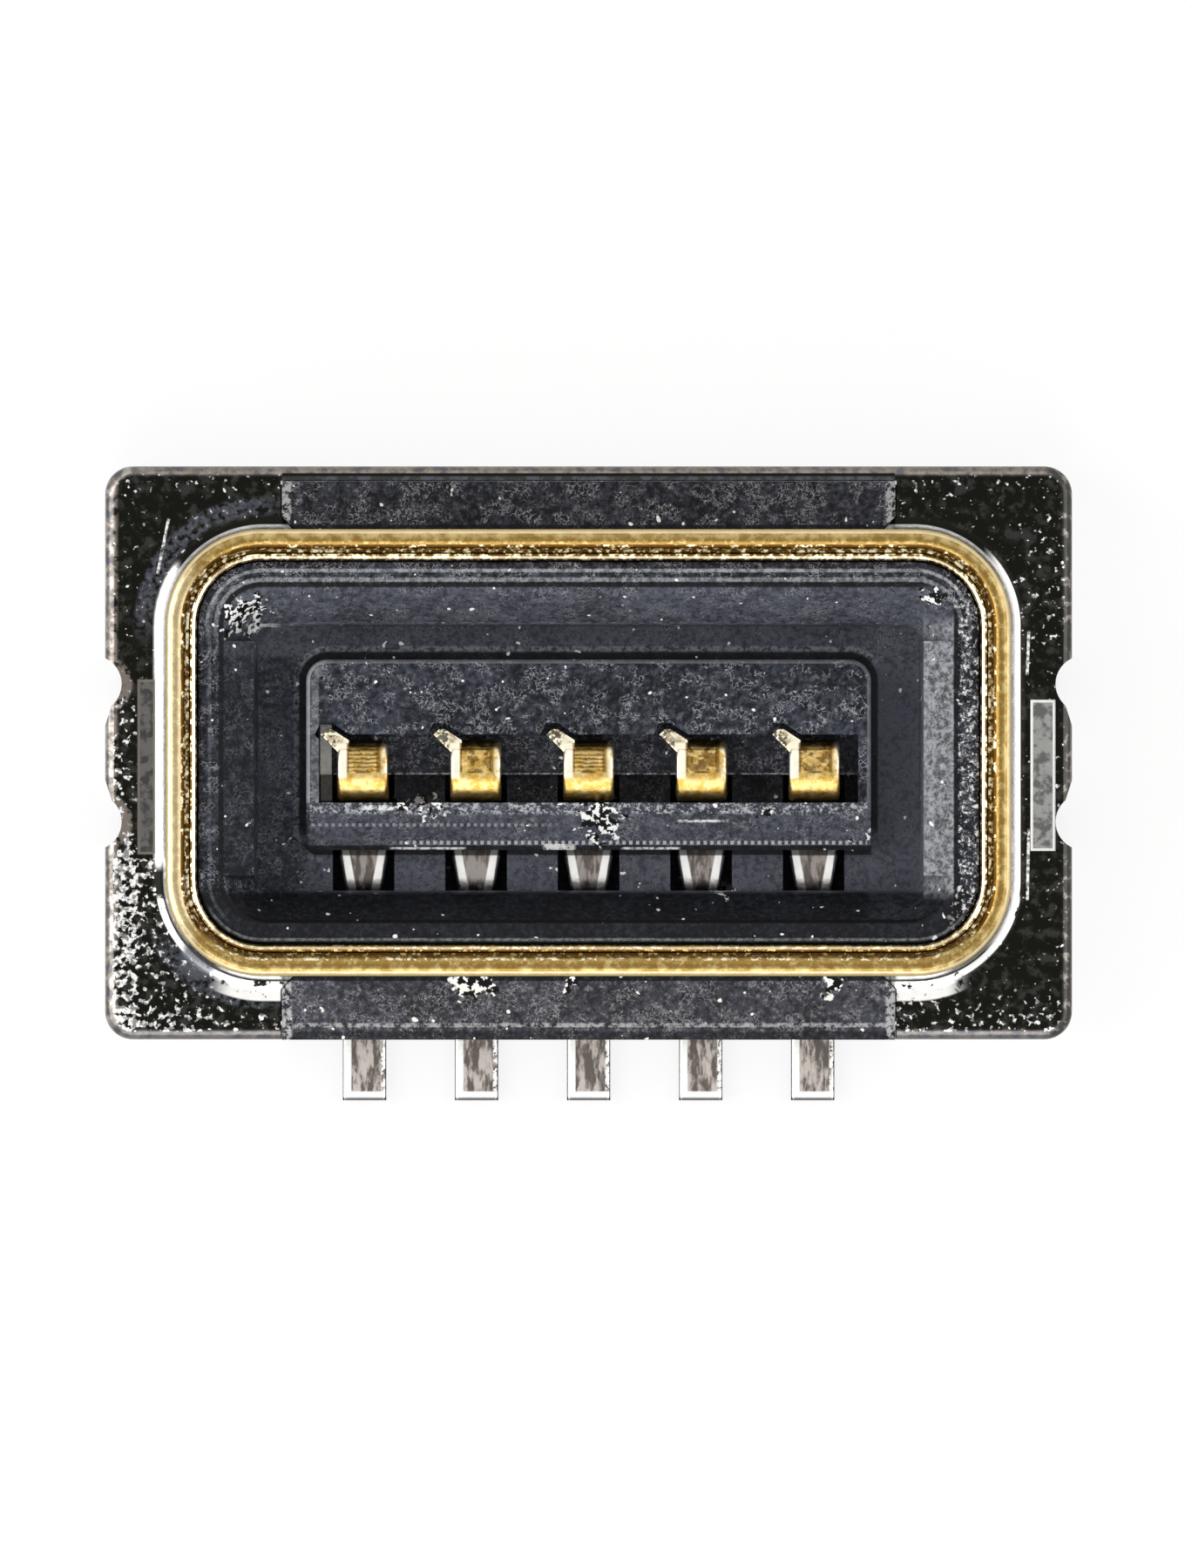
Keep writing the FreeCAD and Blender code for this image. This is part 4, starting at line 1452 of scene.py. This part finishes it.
@dataclass
class Shell:
    """Drawn, folded sheet: end plates, turned-down edges and the raised rim with its closed hem.

    A pad is a coined flat: length, width, Y of its middle, and distance from the end of the body.
    """

    plan: Plan
    edge_bend: float = 0.045
    root_fillet: float = 0.07
    overlap: float = 0.001
    crest_radius: float = 0.034
    crest_width: float = 0.072
    crest_inner_drop: float = 0.022
    groove_width: float = 0.010
    groove_depth: float = 0.045
    bead_rise: float = 0.018
    notch_spacing: float = 0.49
    notch_radius: float = 0.10
    notch_depth: float = 0.060
    foot_chamfer: float = 0.05
    pad_depth: float = 0.012
    pads: dict[int, tuple[float, float, float, float]] = field(default_factory=lambda: {
        -1: (0.62, 0.062, -0.05, 0.117),
        1: (0.535, 0.086, -0.08, 0.062),
    })

    def build(self, bench: Bench) -> bpy.types.Object:
        """Model the shell.

        Args:
            bench: The tools.

        Returns:
            The piece.
        """
        plates = self._plates(bench)
        fillet = bench.carried("fillet", self._fillet(), self.plan.rim, self.plan.rim_corner)
        bench.combine(plates, fillet, Operation.JOIN)
        self._clear_shoulders(bench, plates)
        bench.combine(plates, self._rim(bench), Operation.JOIN)
        for side in (-1, 1):
            self._end(bench, plates, side)
        return plates

    def _plates(self, bench: Bench) -> bpy.types.Object:
        """Cover with its turned-down edge and the hole that the rim rises from.

        Args:
            bench: The tools.

        Returns:
            The cover.
        """
        plan = self.plan
        cover = bench.slab("shield", plan.body, plan.body_corner, 0.0, plan.plate_top)
        bench.round_top(cover, plan.plate_top, self.edge_bend, 6)
        under = plan.plate_top - plan.sheet
        corner = plan.body_corner - plan.sheet
        inner = bench.slab("inside", plan.body_size(plan.sheet), corner, -plan.sheet, under)
        bench.combine(cover, inner, Operation.CUT)
        inset = plan.sheet / 2
        corner = plan.rim_corner - inset
        hole = bench.slab("hole", plan.rim_size(inset), corner, 0.0, plan.rim_top, 14)
        bench.combine(cover, hole, Operation.CUT)
        return cover

    def _fillet(self) -> list[Point]:
        """Section of the concave fillet at the rim's root.

        Returns:
            Corners as (inset, height).
        """
        plan, r = self.plan, self.root_fillet
        low = plan.plate_top - plan.sheet / 2
        lap = self.overlap
        bow = [(x + lap, z - lap) for x, z in arc((-r, plan.plate_top + r), r, 0.0, -90.0, 8)]
        return [(plan.sheet / 2, plan.plate_top + r)] + bow + [(-r, low), (plan.sheet / 2, low)]

    def _hem(self) -> list[Point]:
        """Section of the rim: wall, rounded crest, groove and inner bead of the closed hem.

        Returns:
            Corners as (inset, height).
        """
        plan, r, top = self.plan, self.crest_radius, self.plan.rim_top
        reach = self.crest_width - r
        wide = (reach ** 2 + self.crest_inner_drop ** 2) / (2 * self.crest_inner_drop)
        fall = math.degrees(math.atan2(reach, wide - self.crest_inner_drop))
        floor = top - self.groove_depth
        start = self.crest_width + self.groove_width
        half = (plan.hem_width - start) / 2
        bead = (half ** 2 + self.bead_rise ** 2) / (2 * self.bead_rise)
        swing = math.degrees(math.atan2(half, bead - self.bead_rise))
        bead_middle = (start + half, floor + self.bead_rise - bead)
        section = [(0.0, plan.rim_root)]
        section += arc((r, top - r), r, 180.0, 90.0, 8)
        section += arc((r, top - wide), wide, 90.0, 90.0 - fall, 6)[1:]
        section += [(self.crest_width, floor)]
        section += arc(bead_middle, bead, 90.0 + swing, 90.0 - swing, 6)
        foot = plan.hem_foot
        section += [(plan.hem_width, foot), (plan.sheet, foot), (plan.sheet, plan.rim_root)]
        return section

    def _rim(self, bench: Bench) -> bpy.types.Object:
        """Raised rim, whose wall reaches lower between the shoulders' ends.

        Args:
            bench: The tools.

        Returns:
            The rim.
        """
        plan = self.plan
        rim = bench.carried("rim", self._hem(), plan.rim, plan.rim_corner)
        reach = plan.shoulder_length / 2 - plan.shoulder_chamfer
        under = plan.plate_top - plan.sheet
        for side in (-1, 1):
            near, far = sorted((side * reach, side * plan.body[0]))
            lowest = (near, -plan.body[1], -plan.sheet)
            below = bench.block("below", lowest, (far, plan.body[1], under))
            bench.combine(rim, below, Operation.CUT)
        return rim

    def _clear_shoulders(self, bench: Bench, plates: bpy.types.Object) -> None:
        """Cut the shoulders' places, open at the front and inside the edge at the back.

        Args:
            bench: The tools.
            plates: The shell so far.
        """
        plan = self.plan
        for side, far in ((-1, plan.body[1]), (1, plan.body[1] / 2 - plan.sheet)):
            pocket = bench.drawn(
                "pocket", plan.shoulder(side, plan.gap, far), -plan.sheet, plan.rim_top)
            bench.combine(plates, pocket, Operation.CUT)

    def _end(self, bench: Bench, plates: bpy.types.Object, side: int) -> None:
        """Relief notches, chamfered solder foot and coined flat at one end.

        Args:
            bench: The tools.
            plates: The shell so far.
            side: 1 at the right end, -1 at the left.
        """
        plan = self.plan
        edge = side * plan.body[0] / 2
        middle = edge + side * (self.notch_radius - self.notch_depth)
        height = plan.plate_top + 2 * plan.sheet
        cut = self.foot_chamfer
        for end in (-1, 1):
            place = end * self.notch_spacing / 2
            notch = bench.rod("notch", self.notch_radius, (middle, place, -plan.sheet), height)
            bench.combine(plates, notch, Operation.CUT)
            near = end * (self.notch_spacing / 2 - self.notch_radius)
            tip = (edge, near - end * cut)
            corners = [tip, (edge - side * cut, place), (edge + side * cut, place)]
            bench.combine(plates, bench.drawn("bevel", corners, -plan.sheet, height), Operation.CUT)
        length, width, shift, inset = self.pads[side]
        outer = edge - side * inset
        near, far = sorted((outer, outer - side * width))
        low = (near, shift - length / 2, plan.plate_top - self.pad_depth)
        flat = bench.block("flat", low, (far, shift + length / 2, height))
        bench.combine(plates, flat, Operation.CUT)


@dataclass
class Moulding:
    """Moulded body: base, shoulders, wall inside the rim, well, island and the contacts' rooms.

    lead_in is its run and its drop. The island is its length and the Y of its front and back.
    """

    plan: Plan
    end_gap: float = 0.015
    shoulder_top: float = 0.325
    shoulder_edge: float = 0.006
    base_top: float = 0.25
    ledge_top: float = 0.64
    ledge_edge: float = 0.008
    well_floor: float = 0.32
    well_inset: float = 0.215
    well_corner: float = 0.16
    well_shift: float = -0.02
    lead_in: Point = (0.095, 0.18)
    end_lead_in: float = 0.055
    overlap: float = 0.001
    draft: float = 0.010
    mouth_edge: float = 0.008
    island: tuple[float, float, float] = (2.00, -0.345, 0.33)
    island_top: float = 0.54
    island_corner: float = 0.075
    island_edge: float = 0.02
    channel_wall: float = 0.045
    channel_floor: float = 0.41
    channel_edge: float = 0.01
    channel_back: float = 0.02
    riser_slot: float = 0.10
    bridge_drop: float = 0.03
    bridge_slope: float = 0.10
    slot_floor: float = 0.08
    tunnel_top: float = 0.30
    slot_gap: float = 0.02
    ramp_under_wall: float = 0.26
    ramp_run: float = 0.285
    leg_height: float = 0.21
    ramp_bend: float = 0.08

    def build(self, bench: Bench) -> bpy.types.Object:
        """Model the moulding.

        Args:
            bench: The tools.

        Returns:
            The piece.
        """
        body = self._base(bench)
        bench.combine(body, self._wall(bench), Operation.JOIN)
        bench.combine(body, self._well(bench), Operation.CUT)
        for side in (-1, 1):
            bench.combine(body, self._end_ramp(bench, side), Operation.JOIN)
        bench.combine(body, self._island(bench), Operation.JOIN)
        room = self._room(bench)
        for place in self.plan.places():
            bench.combine(body, bench.copy(room, "room", (place, 0.0, 0.0)), Operation.CUT)
        bpy.data.objects.remove(room)
        return body

    def _base(self, bench: Bench) -> bpy.types.Object:
        """Base plate with the two shoulders, grooved for the rim's wall.

        Args:
            bench: The tools.

        Returns:
            The base.
        """
        plan = self.plan
        inset = plan.sheet + self.end_gap
        corner = plan.body_corner - inset
        base = bench.slab("moulding", plan.body_size(inset), corner, plan.standoff, self.base_top)
        backs = {-1: plan.body[1] / 2, 1: plan.body[1] / 2 - plan.sheet - plan.gap}
        for side, far in backs.items():
            outline = plan.shoulder(side, 0.0, far)
            shoulder = bench.drawn("shoulder", outline, plan.standoff, self.shoulder_top)
            bench.round_top(shoulder, self.shoulder_top, self.shoulder_edge, 2)
            bench.combine(base, shoulder, Operation.JOIN)
        inset = plan.sheet + plan.gap
        corner = plan.rim_corner + plan.gap
        track = bench.slab("track", plan.rim_size(-plan.gap), corner, plan.rim_root, plan.rim_top)
        corner = plan.rim_corner - inset
        core = bench.slab("core", plan.rim_size(inset), corner, 0.0, 2 * plan.rim_top)
        bench.combine(track, core, Operation.CUT)
        reach = plan.shoulder_length / 2 - plan.shoulder_chamfer
        highest = (reach, plan.body[1], 2 * plan.rim_top)
        span = bench.block("span", (-reach, -plan.body[1], 0.0), highest)
        bench.combine(track, span, Operation.KEEP)
        bench.combine(base, track, Operation.CUT)
        return base

    def _wall(self, bench: Bench) -> bpy.types.Object:
        """Wall inside the rim, slimmer over the hem's foot.

        Args:
            bench: The tools.

        Returns:
            The wall.
        """
        plan = self.plan
        inset = plan.sheet + plan.gap
        corner, top = plan.rim_corner - inset, plan.hem_foot - plan.gap
        wall = bench.slab("wall", plan.rim_size(inset), corner, plan.standoff, top)
        inset = plan.hem_width + plan.gap
        corner = plan.rim_corner - inset
        upper = bench.slab("upper", plan.rim_size(inset), corner, plan.standoff, self.ledge_top)
        bench.round_top(upper, self.ledge_top, self.ledge_edge, 3)
        bench.combine(wall, upper, Operation.JOIN)
        return wall

    def _well(self, bench: Bench) -> bpy.types.Object:
        """Cutter for the well, made by insets: broken edge, steep lead-in and drafted walls.

        Args:
            bench: The tools.

        Returns:
            The cutter.
        """
        plan = self.plan
        lip = self.mouth_edge
        size = plan.rim_size(self.well_inset - lip)
        well = bench.slab("well", size, self.well_corner + lip, self.ledge_top, plan.rim_top, 14)
        bench.pick(well, Kind.FACE, lambda spot: spot.z < self.ledge_top + bench.near)
        for thickness, depth in (
            (lip, lip),
            (self.lead_in[0], self.lead_in[1] - lip),
            (self.draft, self.ledge_top - self.lead_in[1] - self.well_floor),
        ):
            bpy.ops.mesh.inset(thickness=thickness, depth=depth)
        bpy.ops.mesh.select_all(action="SELECT")
        bpy.ops.transform.translate(value=(0.0, self.well_shift, 0.0))
        bench.close()
        return well

    def _end_ramp(self, bench: Bench, side: int) -> bpy.types.Object:
        """Flatter lead-in at one end of the well, between its round corners.

        Args:
            bench: The tools.
            side: 1 at the right end, -1 at the left.

        Returns:
            The ramp.
        """
        plan = self.plan
        mouth = plan.rim[0] / 2 - self.well_inset
        knee = mouth - self.lead_in[0]
        reach = plan.rim[1] / 2 - self.well_inset - self.well_corner
        foot = knee - self.draft
        low = self.well_floor - plan.sheet
        back = mouth + plan.sheet
        top = self.ledge_top - self.overlap
        outline = [
            (foot, low), (foot, self.well_floor), (knee, self.ledge_top - self.end_lead_in),
            (mouth + self.overlap, top), (back, top), (back, low),
        ]
        outline = [(side * x, z) for x, z in outline]
        return bench.drawn(
            "ramp", outline, self.well_shift - reach, self.well_shift + reach, Axis.Y)

    def _island(self, bench: Bench) -> bpy.types.Object:
        """Block that carries the contact tips, with its channel, riser slot and sloped bridge.

        Args:
            bench: The tools.

        Returns:
            The island.
        """
        plan = self.plan
        length, front, back = self.island
        half = length / 2
        r = self.island_corner
        left = arc((r - half, back - r), r, 180.0, 90.0, 10)
        right = arc((half - r, back - r), r, 90.0, 0.0, 10)
        outline = [(-half, front)] + left + right + [(half, front)]
        block = bench.drawn("island", outline, plan.standoff, self.island_top)
        bench.round_top(block, self.island_top, self.island_edge, 5)
        inner = half - self.channel_wall
        front_wall, back_wall = plan.tip_front - plan.gap, plan.tip_back + self.channel_back
        channel = bench.block(
            "channel", (-inner, front_wall, self.channel_floor), (inner, back_wall, plan.rim_top))
        bench.pick(channel, Kind.EDGE, lambda spot: spot.z < self.channel_floor + bench.near)
        bench.soften(self.channel_edge, 2)
        bench.combine(block, channel, Operation.CUT)
        slot = bench.block(
            "slot", (-inner, front_wall, self.well_floor),
            (inner, front_wall + self.riser_slot, plan.rim_top))
        bench.combine(block, slot, Operation.CUT)
        high = self.island_top - self.bridge_drop
        low = high - self.bridge_slope
        slope = [
            (front_wall, high), (front_wall, plan.rim_top), (front - plan.sheet, plan.rim_top),
            (front - plan.sheet, low), (front, low),
        ]
        reach = plan.body[0] / 2
        bench.combine(block, bench.drawn("slope", slope, -reach, reach, Axis.X), Operation.CUT)
        return block

    def _room(self, bench: Bench) -> bpy.types.Object:
        """Cutter for one contact: slot, sloped tunnel, tail groove and the ear's room.

        Args:
            bench: The tools.

        Returns:
            The cutter.
        """
        plan = self.plan
        half = plan.tip_width / 2 + self.slot_gap
        start = plan.well_front - self.ramp_under_wall
        angle = math.atan2(self.leg_height - plan.strip / 2, self.ramp_run)
        lead = (self.ramp_bend + plan.strip / 2) * math.tan(angle / 2)
        under = start - lead - self.slot_gap
        slope = math.tan(angle)
        lift = plan.strip / 2 + plan.strip / 2 / math.cos(angle) + self.slot_gap
        knee = start + (plan.strip - lift) / slope
        roof = lift + (plan.well_front - start) * slope
        outline = [
            (under, -plan.sheet), (under, plan.strip), (knee, plan.strip), (plan.well_front, roof),
            (plan.well_front, -plan.sheet),
        ]
        room = bench.drawn("room", outline, -half, half, Axis.X)
        back = plan.tip_front - plan.gap + self.riser_slot
        lowest = (-half, plan.well_front, self.slot_floor)
        tunnel = bench.block("tunnel", lowest, (half, back, self.tunnel_top))
        bench.combine(room, tunnel, Operation.JOIN)
        leg = bench.block("leg", lowest, (half, plan.island_front, self.well_floor + plan.sheet))
        bench.combine(room, leg, Operation.JOIN)
        shaft = (-half, plan.tip_front - plan.gap, self.slot_floor)
        riser = bench.block("riser", shaft, (half, back, self.channel_floor))
        bench.combine(room, riser, Operation.JOIN)
        groove = plan.tail_width / 2 + plan.gap
        lowest = (-groove, -plan.body[1] / 2 - plan.sheet, -plan.sheet)
        tail = bench.block("tail", lowest, (groove, under, plan.strip))
        bench.combine(room, tail, Operation.JOIN)
        ear = bench.drawn("ear", plan.ear(self.slot_gap), self.channel_floor, plan.rim_top)
        bench.combine(room, ear, Operation.JOIN)
        return room


@dataclass
class ContactRow:
    """Bent strips: solder tail, ramp, spring leg, riser and dished tip with a small ear.

    ramp is the Y of its foot and its head. A bend's radius is that of the strip's middle.
    """

    plan: Plan
    tail_reach: float = 0.22
    neck_width: float = 0.125
    edge_round: float = 0.014
    lower_edge: float = 0.006
    tip_top: float = 0.55
    tip_drop: float = 0.10
    leg_height: float = 0.21
    ramp: Point = (-0.75, -0.465)
    bends: tuple[float, ...] = (0.08, 0.08, 0.07, 0.07, 0.055)
    bend_steps: tuple[int, ...] = (5, 5, 8, 10, 8)
    dish_width: float = 0.115
    dish_depth: float = 0.010
    dish_start: float = 0.10
    dish_lead: float = 0.008
    dish_steps: tuple[float, ...] = (1.0, 0.75, 0.4, 0.0, -0.4, -0.75, -1.0)
    ear_heights: Point = (0.485, 0.53)
    ear_edge: float = 0.006

    def build(self, bench: Bench) -> list[bpy.types.Object]:
        """Model one contact and copy it along the row.

        Args:
            bench: The tools.

        Returns:
            The contacts from left to right.
        """
        first = self._strip(bench)
        self._widths(bench, first)
        self._dish(bench, first)
        ear = bench.drawn("ear", self.plan.ear(0.0), *self.ear_heights)
        bench.round_top(ear, self.ear_heights[1], self.ear_edge, 2)
        bench.combine(first, ear, Operation.JOIN)
        row = [
            bench.copy(first, f"terminal_{number}", (place, 0.0, 0.0))
            for number, place in enumerate(self.plan.places(), 1)
        ]
        bpy.data.objects.remove(first)
        return row

    def _line(self) -> list[Point]:
        """Centre line of the strip, as corners (y, z).

        Returns:
            The corners.
        """
        plan, half = self.plan, self.plan.strip / 2
        top = self.tip_top - half
        riser, rear = plan.tip_front + half, plan.tip_back - half
        return [
            (-plan.body[1] / 2 - self.tail_reach, half), (self.ramp[0], half),
            (self.ramp[1], self.leg_height), (riser, self.leg_height), (riser, top),
            (rear, top), (rear, self.tip_top - self.tip_drop),
        ]

    def _section(self) -> list[Point]:
        """Section of the strip as (x, height over the centre line), its upper edges rounded.

        Returns:
            Its corners.
        """
        half, t, r = self.plan.tip_width / 2, self.plan.strip / 2, self.edge_round
        upper = [(self.dish_width / 2 * share, t) for share in self.dish_steps]
        lower = self.lower_edge
        right = [(half - lower, -t), (half, lower - t)] + arc((half - r, t - r), r, 0.0, 90.0, 5)
        left = arc((r - half, t - r), r, 90.0, 180.0, 5) + [(-half, lower - t), (lower - half, -t)]
        return right + upper + left

    def _strip(self, bench: Bench) -> bpy.types.Object:
        """Extrude and bend the section along the centre line.

        Args:
            bench: The tools.

        Returns:
            The strip.
        """
        line = self._line()
        y, z = line[0]
        section = [(x, y, z + height) for x, height in self._section()]
        piece = bench.loop("terminal", section)
        bends = zip(line, line[1:], line[2:], self.bends, self.bend_steps)
        for before, corner, after, radius, steps in bends:
            come = math.atan2(corner[1] - before[1], corner[0] - before[0])
            leave = math.atan2(after[1] - corner[1], after[0] - corner[0])
            turn = (leave - come + math.pi) % (2 * math.pi) - math.pi
            trim = radius * math.tan(abs(turn) / 2)
            start = (corner[0] - trim * math.cos(come), corner[1] - trim * math.sin(come))
            bench.run((0.0, start[0] - y, start[1] - z))
            side = math.copysign(radius, turn)
            middle = (0.0, start[0] - side * math.sin(come), start[1] + side * math.cos(come))
            bench.turn(turn, middle, (1.0, 0.0, 0.0), steps)
            y, z = corner[0] + trim * math.cos(leave), corner[1] + trim * math.sin(leave)
        bench.run((0.0, line[-1][0] - y, line[-1][1] - z))
        bpy.ops.mesh.select_all(action="SELECT")
        bpy.ops.mesh.remove_doubles(threshold=bench.merge)
        bpy.ops.mesh.select_all(action="SELECT")
        bpy.ops.mesh.fill_holes(sides=0)
        bench.close()
        return piece

    def _split(self, bench: Bench, piece: bpy.types.Object, place: float) -> None:
        """Add a ring of edges where a plane across the strip meets it.

        Args:
            bench: The tools.
            piece: The piece.
            place: Y of the plane.
        """
        bench.edit(piece)
        bpy.ops.mesh.bisect(plane_co=(0.0, place, 0.0), plane_no=(0.0, 1.0, 0.0))
        bpy.ops.object.mode_set(mode="OBJECT")

    def _widths(self, bench: Bench, piece: bpy.types.Object) -> None:
        """Draw the strip in to its tail and neck.

        Args:
            bench: The tools.
            piece: The piece.
        """
        plan = self.plan
        shoulder = plan.well_front - plan.strip
        stations = [
            (shoulder, plan.tail_width), (plan.well_front, self.neck_width),
            (plan.island_front, plan.tip_width),
        ]
        for place, _ in stations:
            self._split(bench, piece, place)
        for vertex in piece.data.vertices:
            if vertex.co.y < plan.island_front:
                vertex.co.x *= self._width(vertex.co.y, stations) / plan.tip_width

    def _width(self, place: float, stations: Sequence[Point]) -> float:
        """Width of the strip at a place along it, between stations of place and width.

        Args:
            place: Y along the strip.
            stations: Places and widths, from front to back.

        Returns:
            The width.
        """
        if place <= stations[0][0]:
            return stations[0][1]
        for (y0, w0), (y1, w1) in zip(stations, stations[1:]):
            if place <= y1:
                return w0 + (w1 - w0) * (place - y0) / (y1 - y0)
        return stations[-1][1]

    def _dish(self, bench: Bench, piece: bpy.types.Object) -> None:
        """Press the shallow dish into the tip's top.

        Args:
            bench: The tools.
            piece: The piece.
        """
        start = self.plan.tip_front + self.dish_start
        self._split(bench, piece, start + self.dish_lead)
        half = self.dish_width / 2
        high = self.tip_top - self.plan.strip
        for vertex in piece.data.vertices:
            x, y, z = vertex.co
            if y > start + self.dish_lead / 2 and z > high and abs(x) < half:
                vertex.co.z -= self.dish_depth * (1.0 - (x / half) ** 2)


@dataclass
class Studio:
    """Pale table, soft lamps round the object and a camera straight above its mating face.

    Lengths are in millimetres. A lamp is its azimuth and elevation in degrees, and its level.
    """

    pixels_per_mm: float = 325.0
    picture: tuple[int, int] = (1360, 1800)
    body_centre_px: tuple[float, float] = (675.5, 864.0)
    table_size: float = 600.0
    camera_height: float = 60.0
    sensor: float = 36.0
    clip: Point = (1.0, 1000.0)
    lamp_distance: float = 60.0
    lamp_size: float = 55.0
    world_level: float = 0.28
    lamps: dict[str, tuple[float, float, float]] = field(default_factory=lambda: {
        "left_lamp": (180.0, 34.0, 0.72),
        "right_lamp": (0.0, 40.0, 0.40),
        "front_lamp": (262.0, 38.0, 0.62),
        "back_lamp": (90.0, 40.0, 0.12),
    })

    def build(self) -> None:
        """Make the table, the lamps, the world and the camera."""
        self._table()
        for name, (azimuth, elevation, level) in self.lamps.items():
            self._lamp(name, azimuth, elevation, level)
        self._world()
        self._camera()

    def _table(self) -> None:
        """Lay the table under the object."""
        bpy.ops.mesh.primitive_plane_add(size=self.table_size * MM, location=(0, 0, 0))
        table = bpy.context.object
        table.name = "table"
        table.data.materials.append(PaleTable().material())

    def _lamp(self, name: str, azimuth: float, elevation: float, level: float) -> None:
        """Hang one soft lamp aimed at the object.

        Args:
            name: The lamp's name.
            azimuth: Degrees from +X towards +Y.
            elevation: Degrees over the table.
            level: Share of full light that it gives a surface that faces it.
        """
        a, e = math.radians(azimuth), math.radians(elevation)
        out = Vector((math.cos(a) * math.cos(e), math.sin(a) * math.cos(e), math.sin(e)))
        distance = self.lamp_distance * MM
        data = bpy.data.lights.new(name, "AREA")
        data.shape = "SQUARE"
        data.size = self.lamp_size * MM
        data.energy = level * math.pi ** 2 * distance ** 2
        lamp = bpy.data.objects.new(name, data)
        lamp.location = out * distance
        lamp.rotation_euler = out.to_track_quat("Z", "Y").to_euler()
        bpy.context.scene.collection.objects.link(lamp)

    def _world(self) -> None:
        """Even grey surroundings, white where the camera sees past the table."""
        world = bpy.data.worlds.new("surroundings")
        bpy.context.scene.world = world
        world.use_nodes = True
        graph = Graph(world.node_tree)
        path = graph.node("ShaderNodeLightPath", {}, {})
        seen = path["Is Camera Ray"] + path["Is Glossy Ray"] + path["Is Transmission Ray"]
        level = seen * (1.0 - self.world_level) + self.world_level
        sky = graph.node("ShaderNodeBackground", {}, {"Color": WHITE, "Strength": level})
        graph.node("ShaderNodeOutputWorld", {}, {"Surface": sky["Background"]})

    def _camera(self) -> None:
        """Look straight down, with the body where the photograph has it."""
        data = bpy.data.cameras.new("camera")
        camera = bpy.data.objects.new("camera", data)
        bpy.context.scene.collection.objects.link(camera)
        width, height = self.picture
        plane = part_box("shell")[1][2]
        away = self.camera_height * MM
        tall = height / self.pixels_per_mm * MM
        data.sensor_width = self.sensor
        data.sensor_fit = "AUTO"
        data.lens = self.sensor * away / tall
        offset_x = (width / 2 - self.body_centre_px[0]) / self.pixels_per_mm * MM
        offset_y = (self.body_centre_px[1] - height / 2) / self.pixels_per_mm * MM
        camera.location = (offset_x, offset_y, plane + away)
        data.clip_start, data.clip_end = (distance * MM for distance in self.clip)
        bpy.context.scene.camera = camera


def main() -> None:
    """Build the scene in order."""
    bpy.context.scene.view_settings.view_transform = "Standard"
    Studio().build()
    plan, bench = Plan(), Bench()
    moulding = Moulding(plan).build(bench)
    bench.finish(moulding, "housing", "moulding", MouldedPlastic().material())
    shell = Shell(plan).build(bench)
    bench.finish(shell, "shell", "shell_metal", ShellPlating().material())
    plating = ContactPlating().material()
    for number, contact in enumerate(ContactRow(plan).build(bench), 1):
        bench.finish(contact, f"contact_{number}", "contact_metal", plating)


if __name__ == "__main__":
    logging.basicConfig(level=logging.INFO, format="%(name)s: %(message)s")
    main()
